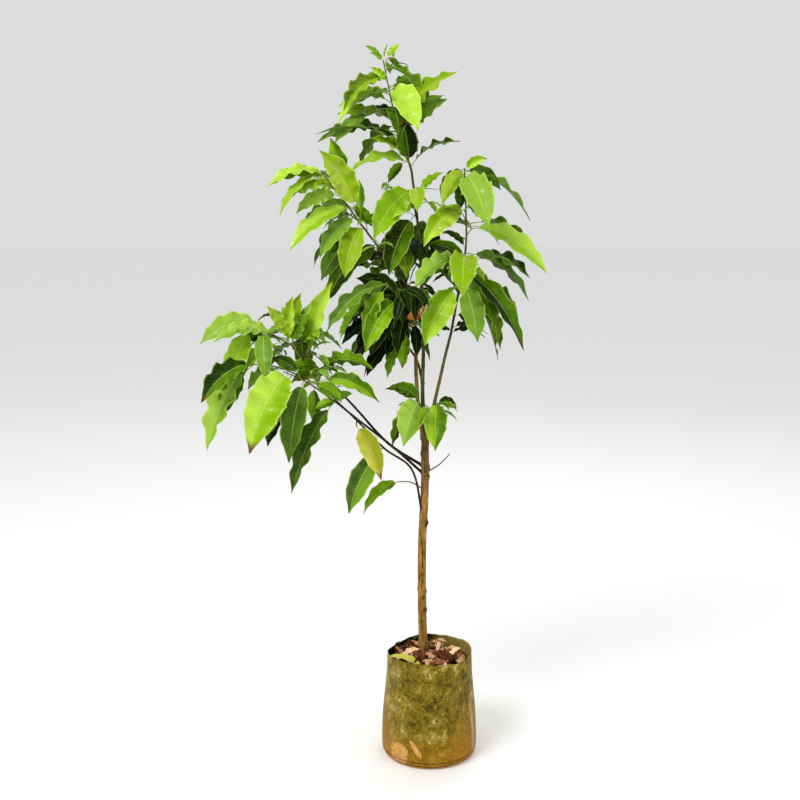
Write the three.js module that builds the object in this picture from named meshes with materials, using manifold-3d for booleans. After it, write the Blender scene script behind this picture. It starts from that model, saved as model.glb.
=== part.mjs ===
import * as THREE from 'three';
import { mergeVertices } from 'three/addons/utils/BufferGeometryUtils.js';
import Module from 'manifold-3d';

// A young abiu tree, 1.84 m tall, in a round nursery grow bag.
// Millimetres, +Z up. The origin is at the middle of the bag's underside.
// +X is to the right as seen from the front, +Y goes to the back, and bearings
// turn from +X (0) to the back (90), the left (180) and the front (270).

const wasm = await Module();
wasm.setup();

const DEGREE = Math.PI / 180;
const GOLDEN_ANGLE = 137.5;
const GAP = 0.3; // clearance between touching pieces
const FINEST = 0.1; // detail smaller than this is smoothed away
const ROUNDINGS = [0.001, 0.005, 0.01]; // a skin stays closed when its corners are rounded to each of these
const FRONT = new THREE.Vector3(0, -1, 0);

// The grow bag: a round thin wall that bulges low down, given by radius and height
const BAG_SIDES = 32;
const BAG_WALL = 2.5;
const BAG_HEIGHT = 283;
const BAG_PROFILE = [
  [113, 0], [121, 5], [126, 18], [127.5, 60], [123, 130], [115.5, 210], [113.6, 246], [112, BAG_HEIGHT],
];
const RIM_FOLD = { bearing: 140, depth: 0.2, halfWidth: 42, from: 246 }; // the rim's flat at the back left
const RIM_SWAY = { height: 2.5, waves: 3, phase: 1 }; // how the rim dips and rises on its way round

// The soil and the dry leaf litter on it
const SOIL_TOP = 250;
const SOIL_ROUNDING = 2; // how far its edges draw in at the top and at the foot
const FACET_ROOM = 0.5; // more clearance where the bag's facets cut inwards
const LITTER = {
  count: 8, length: [38, 60], widthShare: 0.45, petiole: 4,
  ring: [30, 84], skew: [60, 180], rise: [4, 14], sunk: 1,
};

// The trunk, with the root flare at its foot
const TRUNK_PATH = [[-15, 0, SOIL_TOP + GAP], [-20, 0, 420], [-20, 0, 585], [-14, 0, 720], [-14, 0, 872]];
const TRUNK_RADIUS = [11.5, 10];
const TRUNK_FLARE = 6;
const FLARE_HEIGHT = 60;
const TRUNK_DOME = 5; // height of its rounded top
const TRUNK_SIDES = 10;
const TRUNK_STEPS = 16;

// Each limb: the points that it passes, and its radius at its foot and its tip
const LIMB_SIDES = 7;
const SHOOT_SIDES = 4;
const STEPS_PER_POINT = 2;
const LIMBS = {
  leader: {
    path: [[-14, 0, 862], [-20, 0, 960], [-20, 0, 1140], [-30, 0, 1365], [-50, 0, 1535]],
    radius: [5.5, 3],
  },
  left_prong: { path: [[-16, 0, 856], [-35, 4, 960], [-38, 4, 1125], [-60, -10, 1250]], radius: [6, 3.5] },
  right_branch: { path: [[-10, 0, 858], [12, -10, 960], [30, -15, 1050], [50, -20, 1130]], radius: [5, 3.5] },
  back_bough: { path: [[-20, 0, 1000], [-38, 45, 1060], [-80, 90, 1110]], radius: [3.5, 2.5] },
  left_bough_upper: { path: [[-14, 0, 782], [-100, 12, 835], [-240, 30, 980]], radius: [4, 2.6] },
  left_bough_lower: { path: [[-15, 0, 762], [-85, -22, 830], [-235, -60, 960]], radius: [3.6, 2.4] },
  left_bough_thin: {
    path: [[-18, 0, 640], [-50, -26, 785], [-120, -36, 842], [-215, -10, 932], [-285, 5, 995]],
    radius: [3, 2.2],
  },
  right_dry_twig: { path: [[-10, 0, 768], [22, -6, 790], [50, -10, 820]], radius: [1.8, 1.1] },
};
const DARK_LIMBS = ['left_bough_upper', 'left_bough_lower', 'left_bough_thin', 'right_dry_twig'];

// Each mass of leaves: the middle and the half-widths of its space, and its shoots.
// The first shoot leaves a limb, and the others leave the first. A shoot has its path,
// its radius at both ends, the leaves that show one by one, and how many more are seeded.
// A leaf is [place along the shoot, bearing, rise, petiole, blade length, blade width,
// turn of its face to the front, or below 0 to the back]: degrees and millimetres.
const FOLIAGE = {
  foliage_top: {
    heart: [-110, 0, 1665], reach: [235, 200, 205],
    shoots: [{
      path: [[-50, 0, 1535], [-95, 0, 1685], [-120, 0, 1800]], radius: [3, 1.2], seeded: 6,
      leaves: [
        [0.05, 205, 30, 12, 110, 40, 40], [0.07, 260, 45, 15, 125, 55, 75], [0.42, 145, 30, 12, 85, 30, 70],
        [0.78, 305, -40, 35, 145, 65, 75], [0.75, 55, -5, 35, 110, 40, 50], [0.4, 340, 40, 20, 180, 65, 45],
        [0.33, 20, 40, 20, 130, 45, 50], [0.62, 195, -5, 20, 115, 40, 35], [0.17, 195, 10, 25, 205, 60, 25],
        [0.72, 215, -30, 15, 150, 50, 35], [0.78, 200, 40, 15, 45, 20, 75], [0.96, 200, 40, 25, 40, 15, 70],
        [0.97, 220, 25, 12, 35, 15, 75], [0.98, 310, 68, 14, 32, 12, 45], [0.96, 335, 45, 25, 38, 15, 75],
        [0.07, 195, -10, 15, 140, 50, 35], [0.1, 155, -45, 20, 60, 25, 75], [0.03, 340, 25, 25, 120, 45, 25],
      ],
    }],
  },
  foliage_centre: {
    heart: [-75, -60, 1395], reach: [115, 150, 165],
    shoots: [{
      path: [[-32, 0, 1395], [-42, -20, 1450], [-38, -30, 1495]], radius: [2.6, 1.6], seeded: 0,
      leaves: [
        [1, 215, -45, 25, 150, 70, 75], [0.35, 215, -60, 25, 145, 65, 75], [0.5, 235, -15, 15, 85, 35, 75],
        [1, 275, -35, 12, 90, 40, 75], [1, 135, -55, 12, 75, 35, 75],
      ],
    }],
  },
  foliage_right: {
    heart: [110, -20, 1320], reach: [215, 215, 310],
    shoots: [{
      path: [[50, -20, 1131], [65, -25, 1220], [85, -30, 1345], [85, -35, 1425], [80, -40, 1540]],
      radius: [3.5, 1.6], seeded: 0,
      leaves: [
        [0.5, 265, -35, 20, 150, 70, 75], [0.5, 20, -35, 30, 185, 65, 35], [0.4, 335, -50, 40, 215, 70, 30],
        [0.36, 295, -60, 45, 135, 60, 75], [0.34, 35, -60, 55, 190, 55, 30], [0.32, 220, -55, 35, 150, 70, 75],
        [0.48, 200, -30, 25, 135, 50, 45], [0.04, 20, -12, 12, 90, 30, 30], [0.12, 25, -30, 12, 75, 30, 75],
        [0.44, 160, 25, 12, 95, 35, 75], [1, 230, -45, 12, 105, 40, 75], [1, 100, -60, 12, 100, 35, 65],
        [0.98, 330, 25, 12, 55, 25, 75], [1, 20, -25, 12, 95, 35, 75], [0.98, 290, -45, 25, 165, 75, 75],
        [1, 20, -35, 35, 185, 50, 25], [0.66, 340, -30, 35, 195, 60, 40], [0.67, 15, -20, 40, 150, 50, 35],
        [0.82, 305, -45, 12, 50, 20, 70], [0.52, 160, 40, 15, 60, 20, 45], [0.76, 210, -35, 12, 140, 55, 75],
      ],
    }, {
      path: [[65, -25, 1220], [95, 40, 1290], [115, 95, 1320]], radius: [2.4, 1.4], seeded: 7, leaves: [],
    }],
  },
  foliage_upper_left: {
    heart: [-260, -30, 1410], reach: [185, 215, 265],
    shoots: [{
      path: [[-60, -10, 1250], [-100, -20, 1310], [-140, -25, 1360], [-210, -45, 1455], [-270, -60, 1535]],
      radius: [3.4, 1.5], seeded: 0,
      leaves: [
        [0.95, 195, -10, 15, 135, 40, 30], [1, 205, -45, 25, 130, 35, 30], [0.76, 155, 20, 12, 105, 35, 30],
        [0.85, 195, -15, 30, 105, 40, 50], [0.78, 195, -20, 15, 105, 40, 65], [0.63, 165, 15, 20, 70, 25, 50],
        [0.68, 200, -35, 12, 170, 55, 40], [0.64, 155, -50, 30, 150, 50, 40], [0.6, 205, -45, 12, 125, 45, 60],
        [0.54, 225, -65, 12, 130, 60, 75], [0.62, 145, -60, 40, 150, 50, 40], [0.6, 212, 60, 40, 150, 65, 75],
        [0.55, 100, 75, 40, 70, 25, 65], [0.34, 145, -35, 12, 80, 35, 75], [0.68, 25, -35, 12, 65, 30, 75],
      ],
    }, {
      path: [[-140, -25, 1360], [-185, 50, 1410], [-215, 100, 1430]], radius: [2.4, 1.4], seeded: 7,
      leaves: [],
    }],
  },
  foliage_middle: {
    heart: [-130, -5, 1245], reach: [190, 195, 205],
    shoots: [{
      path: [[-44, 2, 1160], [-75, -25, 1215], [-110, -30, 1260]], radius: [2.4, 1.6], seeded: 0,
      leaves: [
        [1, 205, -35, 40, 160, 50, 35], [0.95, 215, -60, 25, 125, 45, 40], [0.6, 225, -45, 20, 155, 60, 65],
      ],
    }, {
      path: [[-75, -25, 1215], [-80, 25, 1290], [-75, 55, 1365]], radius: [2, 1.3], seeded: 8, leaves: [],
    }],
  },
  foliage_back: {
    heart: [-110, 105, 1175], reach: [165, 175, 205],
    shoots: [{
      path: [[-80, 90, 1110], [-125, 100, 1170], [-150, 105, 1240]], radius: [2.5, 1.4], seeded: 9,
      leaves: [],
    }, {
      path: [[-80, 90, 1110], [-55, 110, 1170], [-50, 130, 1240]], radius: [2.2, 1.4], seeded: 9, leaves: [],
    }],
  },
  foliage_back_top: {
    heart: [-40, 120, 1390], reach: [175, 180, 190],
    shoots: [{
      path: [[-27, 0, 1290], [-30, 60, 1340], [-35, 100, 1400]], radius: [2.4, 1.4], seeded: 11, leaves: [],
    }],
  },
  foliage_low_left_upper: {
    heart: [-360, 20, 1120], reach: [255, 200, 205],
    shoots: [{
      path: [[-240, 30, 980], [-330, 20, 1075], [-450, 0, 1155]], radius: [2.5, 1.4], seeded: 3,
      leaves: [
        [0.42, 320, 62, 20, 200, 55, 60], [0.8, 205, -5, 12, 145, 50, 40], [0.95, 195, -15, 12, 145, 55, 55],
        [0.62, 215, 60, 30, 90, 35, 75], [0.65, 300, 70, 20, 110, 40, 70], [1, 208, -65, 35, 150, 60, 75],
        [0.68, 200, -40, 30, 145, 45, 35], [0.8, 150, -30, 30, 150, 50, 45], [0.25, 335, 5, 12, 150, 50, 40],
        [0.53, 35, 25, 12, 70, 25, 60],
      ],
    }, {
      path: [[-330, 20, 1075], [-350, 80, 1110], [-365, 125, 1120]], radius: [2, 1.3], seeded: 7, leaves: [],
    }],
  },
  foliage_low_left_front: {
    heart: [-350, -130, 905], reach: [265, 175, 205],
    shoots: [{
      path: [[-235, -60, 960], [-315, -80, 1020], [-365, -95, 1045]], radius: [2.3, 1.4], seeded: 0,
      leaves: [
        [0.9, 240, -45, 15, 225, 95, 75], [0.85, 145, -60, 35, 165, 60, 75], [0.65, 245, -70, 20, 190, 65, 75],
        [0.05, 215, -62, 30, 225, 60, 30], [0.45, 100, -70, 12, 105, 35, 75], [0.45, 325, -20, 12, 80, 35, 75],
        [0.7, 149, 25, 25, 75, 35, 75], [0.5, 333, -8, 55, 145, 50, 40],
      ],
    }],
  },
  foliage_low_left_far: {
    heart: [-430, -40, 930], reach: [215, 160, 195],
    shoots: [{
      path: [[-285, 5, 995], [-390, -20, 1045], [-465, -45, 1058]], radius: [2.1, 1.3], seeded: 5,
      leaves: [
        [1, 215, -62, 30, 210, 70, 50], [0.9, 210, -55, 45, 115, 50, 75], [0.75, 135, -68, 60, 155, 55, 40],
      ],
    }],
  },
  foliage_fork_left: {
    heart: [-75, -40, 915], reach: [80, 135, 150],
    shoots: [{
      path: [[-16, 0, 900], [-24, -22, 935], [-28, -30, 960]], radius: [1.8, 1.4], seeded: 0,
      leaves: [
        [1, 255, -32, 15, 150, 70, 75], [0.9, 160, -55, 20, 120, 45, 45], [1, 200, 22, 15, 85, 30, 45],
      ],
    }],
  },
  foliage_fork_right: {
    heart: [25, -60, 900], reach: [80, 120, 125],
    shoots: [{
      path: [[-4, 0, 880], [14, -28, 930], [16, -34, 958]], radius: [1.8, 1.4], seeded: 0,
      leaves: [[1, 265, -50, 12, 125, 60, 75], [0.9, 52, -12, 12, 75, 28, 60]],
    }],
  },
  leaf_yellowing: {
    heart: [-165, -80, 850], reach: [90, 90, 110],
    shoots: [{
      path: [[-187, -46, 914], [-188, -60, 908], [-186, -68, 902]], radius: [1.7, 1.5], seeded: 0,
      leaves: [[1, 315, -55, 12, 140, 52, 75]],
    }],
  },
  leaf_hanging: {
    heart: [-165, -80, 775], reach: [90, 100, 110],
    shoots: [{
      path: [[-120, -36, 842], [-128, -48, 836], [-134, -56, 828]], radius: [1.7, 1.5], seeded: 0,
      leaves: [[1, 215, -60, 12, 155, 58, 75]],
    }],
  },
  leaf_lowest: {
    heart: [-110, -60, 715], reach: [125, 120, 95],
    shoots: [{
      path: [[-16, 0, 722], [-50, -26, 748], [-80, -48, 755]], radius: [1.8, 1.3], seeded: 0,
      leaves: [[1, 210, -35, 12, 115, 38, 35]],
    }],
  },
};

// What a seeded leaf may measure. Leaves crowd towards the shoot's tip, and each stands
// a golden angle further round the shoot than the last.
const SEEDED = {
  length: [105, 165], widthShare: [0.32, 0.44], petiole: [12, 26],
  rise: [-62, 8], crowding: 0.6, stray: 40, turn: 50,
};
const SWINGS = [0, 12, -12, 24, -24, 40, -40]; // the bearings that a leaf tries before it is skipped
const FOLIAGE_SEED = 100; // of the first mass, and one more for each mass after it
const LITTER_SEED = 11;
const LAST_FOOT = 0.985; // the furthest along a shoot that a leaf has its foot

// A blade: its half-width along its length, and how its edges lie
const BLADE = [[0.14, 0.62], [0.4, 1], [0.68, 0.86], [0.9, 0.4]]; // place, and share of the width
const SHORT_BLADE = [[0.2, 0.78], [0.55, 1], [0.86, 0.5]];
const SHORT = 130; // a blade under this length has the short outline
const BLADE_FOLD = 0.16; // rise of the edges above the midrib, as a share of the half-width
const BLADE_WAVE = { height: 0.16, turn: 2.6 }; // along the edges: share of the half-width, radians a section
const THICKNESS = { share: 0.013, least: 1.2 }; // of the length, and in millimetres
const STALK = { least: 0.6, share: 0.008, most: 1.5 }; // the petiole's half-width
const ROOT = 0.001; // the petiole's first section, as a share of the leaf
const ARCH = { hanging: 0.05, level: 0.12, place: 0.42 }; // a level leaf arches more than a hanging one

const COLOURS = {
  bag: 0x6f7434, soil: 0x7a5444, trunk: 0x9a7448, young_wood: 0x57551f, thin_wood: 0x2e2a17,
  leaf: 0x5f9a1e, shaded_leaf: 0x2b5a14, yellow_leaf: 0xa9b420,
};
const ROUGHNESS = { bag: 0.75, soil: 0.95, trunk: 0.8, limb: 0.7, leaf: 0.45 };
const LEAF_COLOURS = {
  foliage_back: 'shaded_leaf', foliage_back_top: 'shaded_leaf', leaf_yellowing: 'yellow_leaf',
};

// Small helpers

function seededRandom(seed) {
  let state = seed;
  return () => {
    state = (state * 1664525 + 1013904223) % 4294967296;
    return state / 4294967296;
  };
}

const between = ([low, high], share) => low + (high - low) * share;

const vector = (point) => new THREE.Vector3(...point);

function heading(bearing, rise) {
  const level = Math.cos(rise * DEGREE);
  return new THREE.Vector3(
    level * Math.cos(bearing * DEGREE),
    level * Math.sin(bearing * DEGREE),
    Math.sin(rise * DEGREE),
  );
}

// A closed skin over rings of points that turn right-handed about the way they follow.
// A ring of one point is a pole, and any other first or last ring is capped. On a thin blade every
// second side is cut along its other diagonal, so that its top and its underside bend along one line.
function loft(rings, thin = false) {
  const positions = rings.flat().flatMap((point) => point.toArray());
  const starts = [];
  let count = 0;
  for (const ring of rings) {
    starts.push(count);
    count += ring.length;
  }
  const faces = [];
  for (let row = 0; row + 1 < rings.length; row += 1) {
    const near = rings[row].length;
    const far = rings[row + 1].length;
    const sides = Math.max(near, far);
    for (let side = 0; side < sides; side += 1) {
      const next = (side + 1) % sides;
      const a = starts[row] + (side % near);
      const b = starts[row] + (next % near);
      const c = starts[row + 1] + (next % far);
      const d = starts[row + 1] + (side % far);
      const other = thin && side % 2 === 1;
      if (near > 1) faces.push(a, b, far > 1 && !other ? c : d);
      if (far > 1) faces.push(other ? b : a, c, d);
    }
  }
  const last = rings.length - 1;
  for (let side = 1; side + 1 < rings[0].length; side += 1) {
    faces.push(starts[0], starts[0] + side + 1, starts[0] + side);
  }
  for (let side = 1; side + 1 < rings[last].length; side += 1) {
    faces.push(starts[last], starts[last] + side, starts[last] + side + 1);
  }
  const geometry = new THREE.BufferGeometry();
  geometry.setAttribute('position', new THREE.Float32BufferAttribute(positions, 3));
  geometry.setIndex(faces);
  return geometry;
}

function solidOf(geometry) {
  const merged = mergeVertices(geometry, 1e-4);
  return new wasm.Manifold(new wasm.Mesh({
    numProp: 3,
    vertProperties: Float32Array.from(merged.attributes.position.array),
    triVerts: Uint32Array.from(merged.index.array),
  }));
}

function geometryOf(solid) {
  const mesh = solid.getMesh();
  const geometry = new THREE.BufferGeometry();
  geometry.setAttribute('position', new THREE.BufferAttribute(mesh.vertProperties, 3));
  geometry.setIndex(new THREE.BufferAttribute(mesh.triVerts, 1));
  geometry.computeVertexNormals();
  return geometry;
}

// The largest piece of a solid, without the loose scraps and the skins of sealed hollows
function mainPiece(solid) {
  const pieces = solid.simplify(FINEST).decompose();
  return pieces.reduce((best, piece) => (piece.volume() > best.volume() ? piece : best));
}

// Whether every edge still lies between two faces once the corners are rounded off
function isClosedAt(rounding, { vertProperties, triVerts }) {
  const corners = Array.from({ length: vertProperties.length / 3 }, (_, at) => (
    Array.from(vertProperties.subarray(3 * at, 3 * at + 3), (size) => Math.round(size / rounding)).join()));
  const uses = new Map();
  for (let at = 0; at < triVerts.length; at += 3) {
    const face = [0, 1, 2].map((turn) => corners[triVerts[at + turn]]);
    if (new Set(face).size < 3) continue;
    face.forEach((corner, turn) => {
      const edge = [corner, face[(turn + 1) % 3]].sort().join(' ');
      uses.set(edge, (uses.get(edge) ?? 0) + 1);
    });
  }
  return uses.values().every((count) => count === 2);
}

// A solid with a piece fused on, or nothing where the seam would be too fine to keep
function fused(solid, piece) {
  const joined = mainPiece(solid.add(piece));
  const mesh = joined.getMesh();
  return ROUNDINGS.every((rounding) => isClosedAt(rounding, mesh)) ? joined : null;
}

// Limbs and shoots

// Each ring's middle, its frame and its radius, along a smooth path
function tubeRings(path, steps, sides, radiusAt) {
  const curve = new THREE.CatmullRomCurve3(path.map(vector));
  const frames = curve.computeFrenetFrames(steps, false);
  return frames.tangents.map((tangent, step) => {
    const share = step / steps;
    const middle = curve.getPointAt(share);
    const radius = radiusAt(share);
    return Array.from({ length: sides }, (_, side) => {
      const angle = (2 * Math.PI * side) / sides;
      return middle.clone()
        .addScaledVector(frames.normals[step], radius * Math.cos(angle))
        .addScaledVector(frames.binormals[step], radius * Math.sin(angle));
    });
  });
}

// A tapering limb or shoot, swollen by the extra on its sides and past both ends
function limbSolid({ path, radius }, sides, extra = 0) {
  const steps = STEPS_PER_POINT * path.length;
  const rings = tubeRings(path, steps, sides, (share) => between(radius, share) + extra);
  const drawOut = (ring, [from, to]) => {
    const shift = vector(to).sub(vector(from)).setLength(extra);
    ring.forEach((point) => point.add(shift));
  };
  drawOut(rings[0], [path[1], path[0]]);
  drawOut(rings.at(-1), path.slice(-2));
  return solidOf(loft(rings));
}

function trunkSolid(extra = 0) {
  const height = TRUNK_PATH.at(-1)[2] - TRUNK_PATH[0][2];
  const radiusAt = (share) => {
    const flare = Math.max(0, 1 - (share * height) / FLARE_HEIGHT);
    return between(TRUNK_RADIUS, share) + TRUNK_FLARE * flare * flare + extra;
  };
  const rings = tubeRings(TRUNK_PATH, TRUNK_STEPS, TRUNK_SIDES, radiusAt);
  for (const point of rings[0]) point.z = TRUNK_PATH[0][2] - extra;
  rings.push([vector(TRUNK_PATH.at(-1)).add(new THREE.Vector3(0, 0, TRUNK_DOME + extra))]);
  return solidOf(loft(rings));
}

// Leaves

// One leaf on its petiole: a folded blade of four-cornered sections along an arching midrib.
// Each section runs midrib top, right edge, midrib bottom, left edge.
function leafSolid(foot, [, bearing, rise, petiole, length, width, turn], sway) {
  const way = heading(bearing, rise);
  const up = heading(bearing, rise + 90);
  const whole = petiole + length;
  const arch = ARCH.hanging + ARCH.level * Math.cos(rise * DEGREE) ** 2;
  const tip = foot.clone().addScaledVector(way, whole);
  const bend = foot.clone().addScaledVector(way, whole * ARCH.place).addScaledVector(up, 2 * arch * whole);
  const midrib = new THREE.QuadraticBezierCurve3(foot, bend, tip);
  const thick = Math.max(THICKNESS.share * length, THICKNESS.least) / 2;
  const stalk = Math.min(STALK.most, STALK.least + STALK.share * length);
  const section = (share, half, rim, edge) => {
    const along = midrib.getTangent(share);
    const face = up.clone().projectOnPlane(along).normalize().multiplyScalar(1 - Math.abs(turn) / 90);
    face.addScaledVector(FRONT.clone().projectOnPlane(along).normalize(), turn / 90).normalize();
    const side = along.clone().cross(face);
    const middle = midrib.getPoint(share);
    const corner = (right, high) => middle.clone().addScaledVector(side, right).addScaledVector(face, high);
    return [corner(0, rim), corner(half, edge[0]), corner(0, -rim), corner(-half, edge[1])];
  };
  const neck = petiole / whole;
  const rings = [section(ROOT, stalk, stalk, [0, 0]), section(neck, stalk, stalk, [0, 0])];
  const outline = length < SHORT ? SHORT_BLADE : BLADE;
  outline.forEach(([place, share], index) => {
    const half = (share * width) / 2;
    const wave = BLADE_WAVE.height * half * Math.sin(BLADE_WAVE.turn * index + sway);
    const lift = BLADE_FOLD * half;
    rings.push(section(neck + (1 - neck) * place, half, thick, [lift + wave, lift - wave]));
  });
  rings.push([tip]);
  return solidOf(loft(rings, true));
}

function seededRow(index, count, random) {
  const length = between(SEEDED.length, random());
  const bearing = (index * GOLDEN_ANGLE + SEEDED.stray * random()) % 360;
  return [
    ((index + 0.5) / count) ** SEEDED.crowding,
    bearing,
    between(SEEDED.rise, random()),
    between(SEEDED.petiole, random()),
    length,
    length * between(SEEDED.widthShare, random()),
    -SEEDED.turn * Math.sin(bearing * DEGREE),
  ];
}

const boxesMeet = (a, b) => [0, 1, 2].every((axis) => (
  a.min[axis] - GAP <= b.max[axis] && b.min[axis] - GAP <= a.max[axis]));

function isClear(solid, others) {
  const box = solid.boundingBox();
  return others.every((other) => !boxesMeet(box, other.box) || solid.minGap(other.solid, GAP) >= GAP);
}

function staysInside(solid, { heart, reach }) {
  const places = solid.getMesh().vertProperties;
  for (let at = 0; at < places.length; at += 3) {
    const spread = [0, 1, 2].map((axis) => (places[at + axis] - heart[axis]) / reach[axis]);
    if (Math.hypot(...spread) > 1) return false;
  }
  return true;
}

// The bag, the soil and the litter

// The bag's outline at a height: round, and folded in at the back left near the rim
function bagRing(radius, height, inset) {
  const fold = THREE.MathUtils.smoothstep(height, RIM_FOLD.from, BAG_HEIGHT);
  return Array.from({ length: BAG_SIDES }, (_, side) => {
    const bearing = (360 * side) / BAG_SIDES;
    const off = (bearing - RIM_FOLD.bearing) / RIM_FOLD.halfWidth;
    const chord = Math.abs(off) < 1 ? 1 - RIM_FOLD.depth * fold * Math.cos((off * Math.PI) / 2) : 1;
    const sway = RIM_SWAY.height * fold * Math.sin(bearing * DEGREE * RIM_SWAY.waves + RIM_SWAY.phase);
    return heading(bearing, 0).multiplyScalar(radius * chord - inset).setZ(height + sway);
  });
}

function bagWall(inset, fromHeight, toHeight) {
  return BAG_PROFILE.filter(([, height]) => height > fromHeight && height < toHeight)
    .map(([radius, height]) => bagRing(radius, height, inset));
}

function bagRadius(height) {
  const above = BAG_PROFILE.findIndex(([, level]) => level >= height);
  const [low, high] = [BAG_PROFILE[above - 1], BAG_PROFILE[above]];
  return between([low[0], high[0]], (height - low[1]) / (high[1] - low[1]));
}

function bagSolid() {
  const [footRadius] = BAG_PROFILE[0];
  const [rimRadius] = BAG_PROFILE.at(-1);
  return solidOf(loft([
    [new THREE.Vector3(0, 0, 0)],
    bagRing(footRadius, 0, 0),
    ...bagWall(0, 0, BAG_HEIGHT),
    bagRing(rimRadius, BAG_HEIGHT, 0),
    bagRing(rimRadius, BAG_HEIGHT, BAG_WALL),
    ...bagWall(BAG_WALL, BAG_WALL, BAG_HEIGHT).reverse(),
    bagRing(footRadius, BAG_WALL, BAG_WALL),
    [new THREE.Vector3(0, 0, BAG_WALL)],
  ]));
}

function soilSolid(trunk, bag) {
  const inset = BAG_WALL + GAP;
  const floor = BAG_WALL + GAP;
  let soil = solidOf(loft([
    [new THREE.Vector3(0, 0, floor)],
    bagRing(BAG_PROFILE[0][0], floor, inset + SOIL_ROUNDING),
    ...bagWall(inset + FACET_ROOM, floor, SOIL_TOP),
    bagRing(bagRadius(SOIL_TOP), SOIL_TOP, inset + SOIL_ROUNDING),
    [new THREE.Vector3(0, 0, SOIL_TOP)],
  ]));
  const random = seededRandom(LITTER_SEED);
  for (let index = 0; index < LITTER.count; index += 1) {
    const bearing = index * GOLDEN_ANGLE;
    const foot = heading(bearing, 0).multiplyScalar(between(LITTER.ring, random()));
    foot.setZ(SOIL_TOP - LITTER.sunk);
    const length = between(LITTER.length, random());
    const way = bearing + between(LITTER.skew, random());
    const rise = between(LITTER.rise, random());
    const row = [0, way, rise, LITTER.petiole, length, length * LITTER.widthShare, 0];
    const piece = leafSolid(foot, row, index);
    if (isClear(piece, [trunk, bag])) soil = fused(soil, piece) ?? soil;
  }
  return soil;
}

// Putting the tree together

const solids = {};
const obstacles = [];

function place(name, solid, colour, roughness) {
  solids[name] = { solid, colour, roughness };
}

function keepClearOf(solid, owner) {
  const entry = { solid, owner, box: solid.boundingBox() };
  obstacles.push(entry);
  return entry;
}

const bag = keepClearOf(bagSolid(), 'grow_bag');
const trunk = keepClearOf(trunkSolid(), 'trunk');
place('grow_bag', bag.solid, COLOURS.bag, ROUGHNESS.bag);
place('soil', soilSolid(trunk, bag), COLOURS.soil, ROUGHNESS.soil);
place('trunk', trunk.solid, COLOURS.trunk, ROUGHNESS.trunk);

// Each limb is trimmed to stand clear of the trunk and of the limbs before it
const trimmers = [trunkSolid(GAP)];
for (const [name, limb] of Object.entries(LIMBS)) {
  let solid = limbSolid(limb, LIMB_SIDES);
  for (const trimmer of trimmers) solid = solid.subtract(trimmer);
  const trimmed = mainPiece(solid);
  trimmers.push(limbSolid(limb, LIMB_SIDES, GAP));
  keepClearOf(trimmed, name);
  place(name, trimmed, DARK_LIMBS.includes(name) ? COLOURS.thin_wood : COLOURS.young_wood, ROUGHNESS.limb);
}

// The shoots of every mass come first, so that no leaf is laid across one
const masses = Object.entries(FOLIAGE).map(([name, space]) => {
  const stems = space.shoots.map((shoot) => limbSolid(shoot, SHOOT_SIDES));
  let stem = stems.reduce((whole, next) => whole.add(next));
  for (const trimmer of trimmers) stem = stem.subtract(trimmer);
  stem = mainPiece(stem);
  keepClearOf(stem, name);
  return { name, space, stem };
});

masses.forEach(({ name, space, stem }, number) => {
  const random = seededRandom(FOLIAGE_SEED + number);
  const others = () => obstacles.filter((other) => other.owner !== name);
  const leaves = [];
  let mass = stem;
  for (const shoot of space.shoots) {
    const curve = new THREE.CatmullRomCurve3(shoot.path.map(vector));
    const seeded = Array.from({ length: shoot.seeded }, (_, index) => seededRow(index, shoot.seeded, random));
    for (const row of [...shoot.leaves, ...seeded]) {
      const foot = curve.getPointAt(Math.min(row[0], LAST_FOOT));
      const sway = 2 * Math.PI * random();
      let added = null;
      for (const swing of SWINGS) {
        const leaf = leafSolid(foot, row.with(1, row[1] + swing), sway);
        if (!staysInside(leaf, space) || !isClear(leaf, others())) continue;
        added = fused(mass, leaf);
        if (added) {
          leaves.push(leaf);
          break;
        }
      }
      mass = added ?? mass;
    }
  }
  for (const leaf of leaves) keepClearOf(leaf, name);
  place(name, mass, COLOURS[LEAF_COLOURS[name] ?? 'leaf'], ROUGHNESS.leaf);
});

const tree = new THREE.Group();
tree.name = 'potted_abiu_tree';
for (const [name, { solid, colour, roughness }] of Object.entries(solids)) {
  const material = new THREE.MeshStandardMaterial({ color: colour, roughness, metalness: 0 });
  const mesh = new THREE.Mesh(geometryOf(solid), material);
  mesh.name = name;
  tree.add(mesh);
}

export default tree;
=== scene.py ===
from math import radians

import bpy
import numpy as np
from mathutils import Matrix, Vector


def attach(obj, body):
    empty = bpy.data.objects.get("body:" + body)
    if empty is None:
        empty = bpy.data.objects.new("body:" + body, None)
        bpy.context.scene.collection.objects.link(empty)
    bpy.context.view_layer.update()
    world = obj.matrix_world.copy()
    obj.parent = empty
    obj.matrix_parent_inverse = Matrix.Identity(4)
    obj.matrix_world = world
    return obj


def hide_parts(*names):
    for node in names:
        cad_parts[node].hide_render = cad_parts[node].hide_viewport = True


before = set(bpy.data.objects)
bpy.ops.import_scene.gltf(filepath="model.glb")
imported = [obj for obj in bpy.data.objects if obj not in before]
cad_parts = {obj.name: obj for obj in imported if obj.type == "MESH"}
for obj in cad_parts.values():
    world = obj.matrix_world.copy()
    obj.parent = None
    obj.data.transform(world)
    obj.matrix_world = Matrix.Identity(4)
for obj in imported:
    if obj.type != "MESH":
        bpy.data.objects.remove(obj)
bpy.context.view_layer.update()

# The camera
# It stands 2.8 m in front of the tree, at about four fifths of its height, and looks a little down on it.

CAMERA_PLACE = (0, -2.8, 1.4506)
CAMERA_DOWN = 9.963
CAMERA_LEFT = 1.6086
CAMERA_LENS = 49.81
CAMERA_SENSOR = 36


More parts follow.
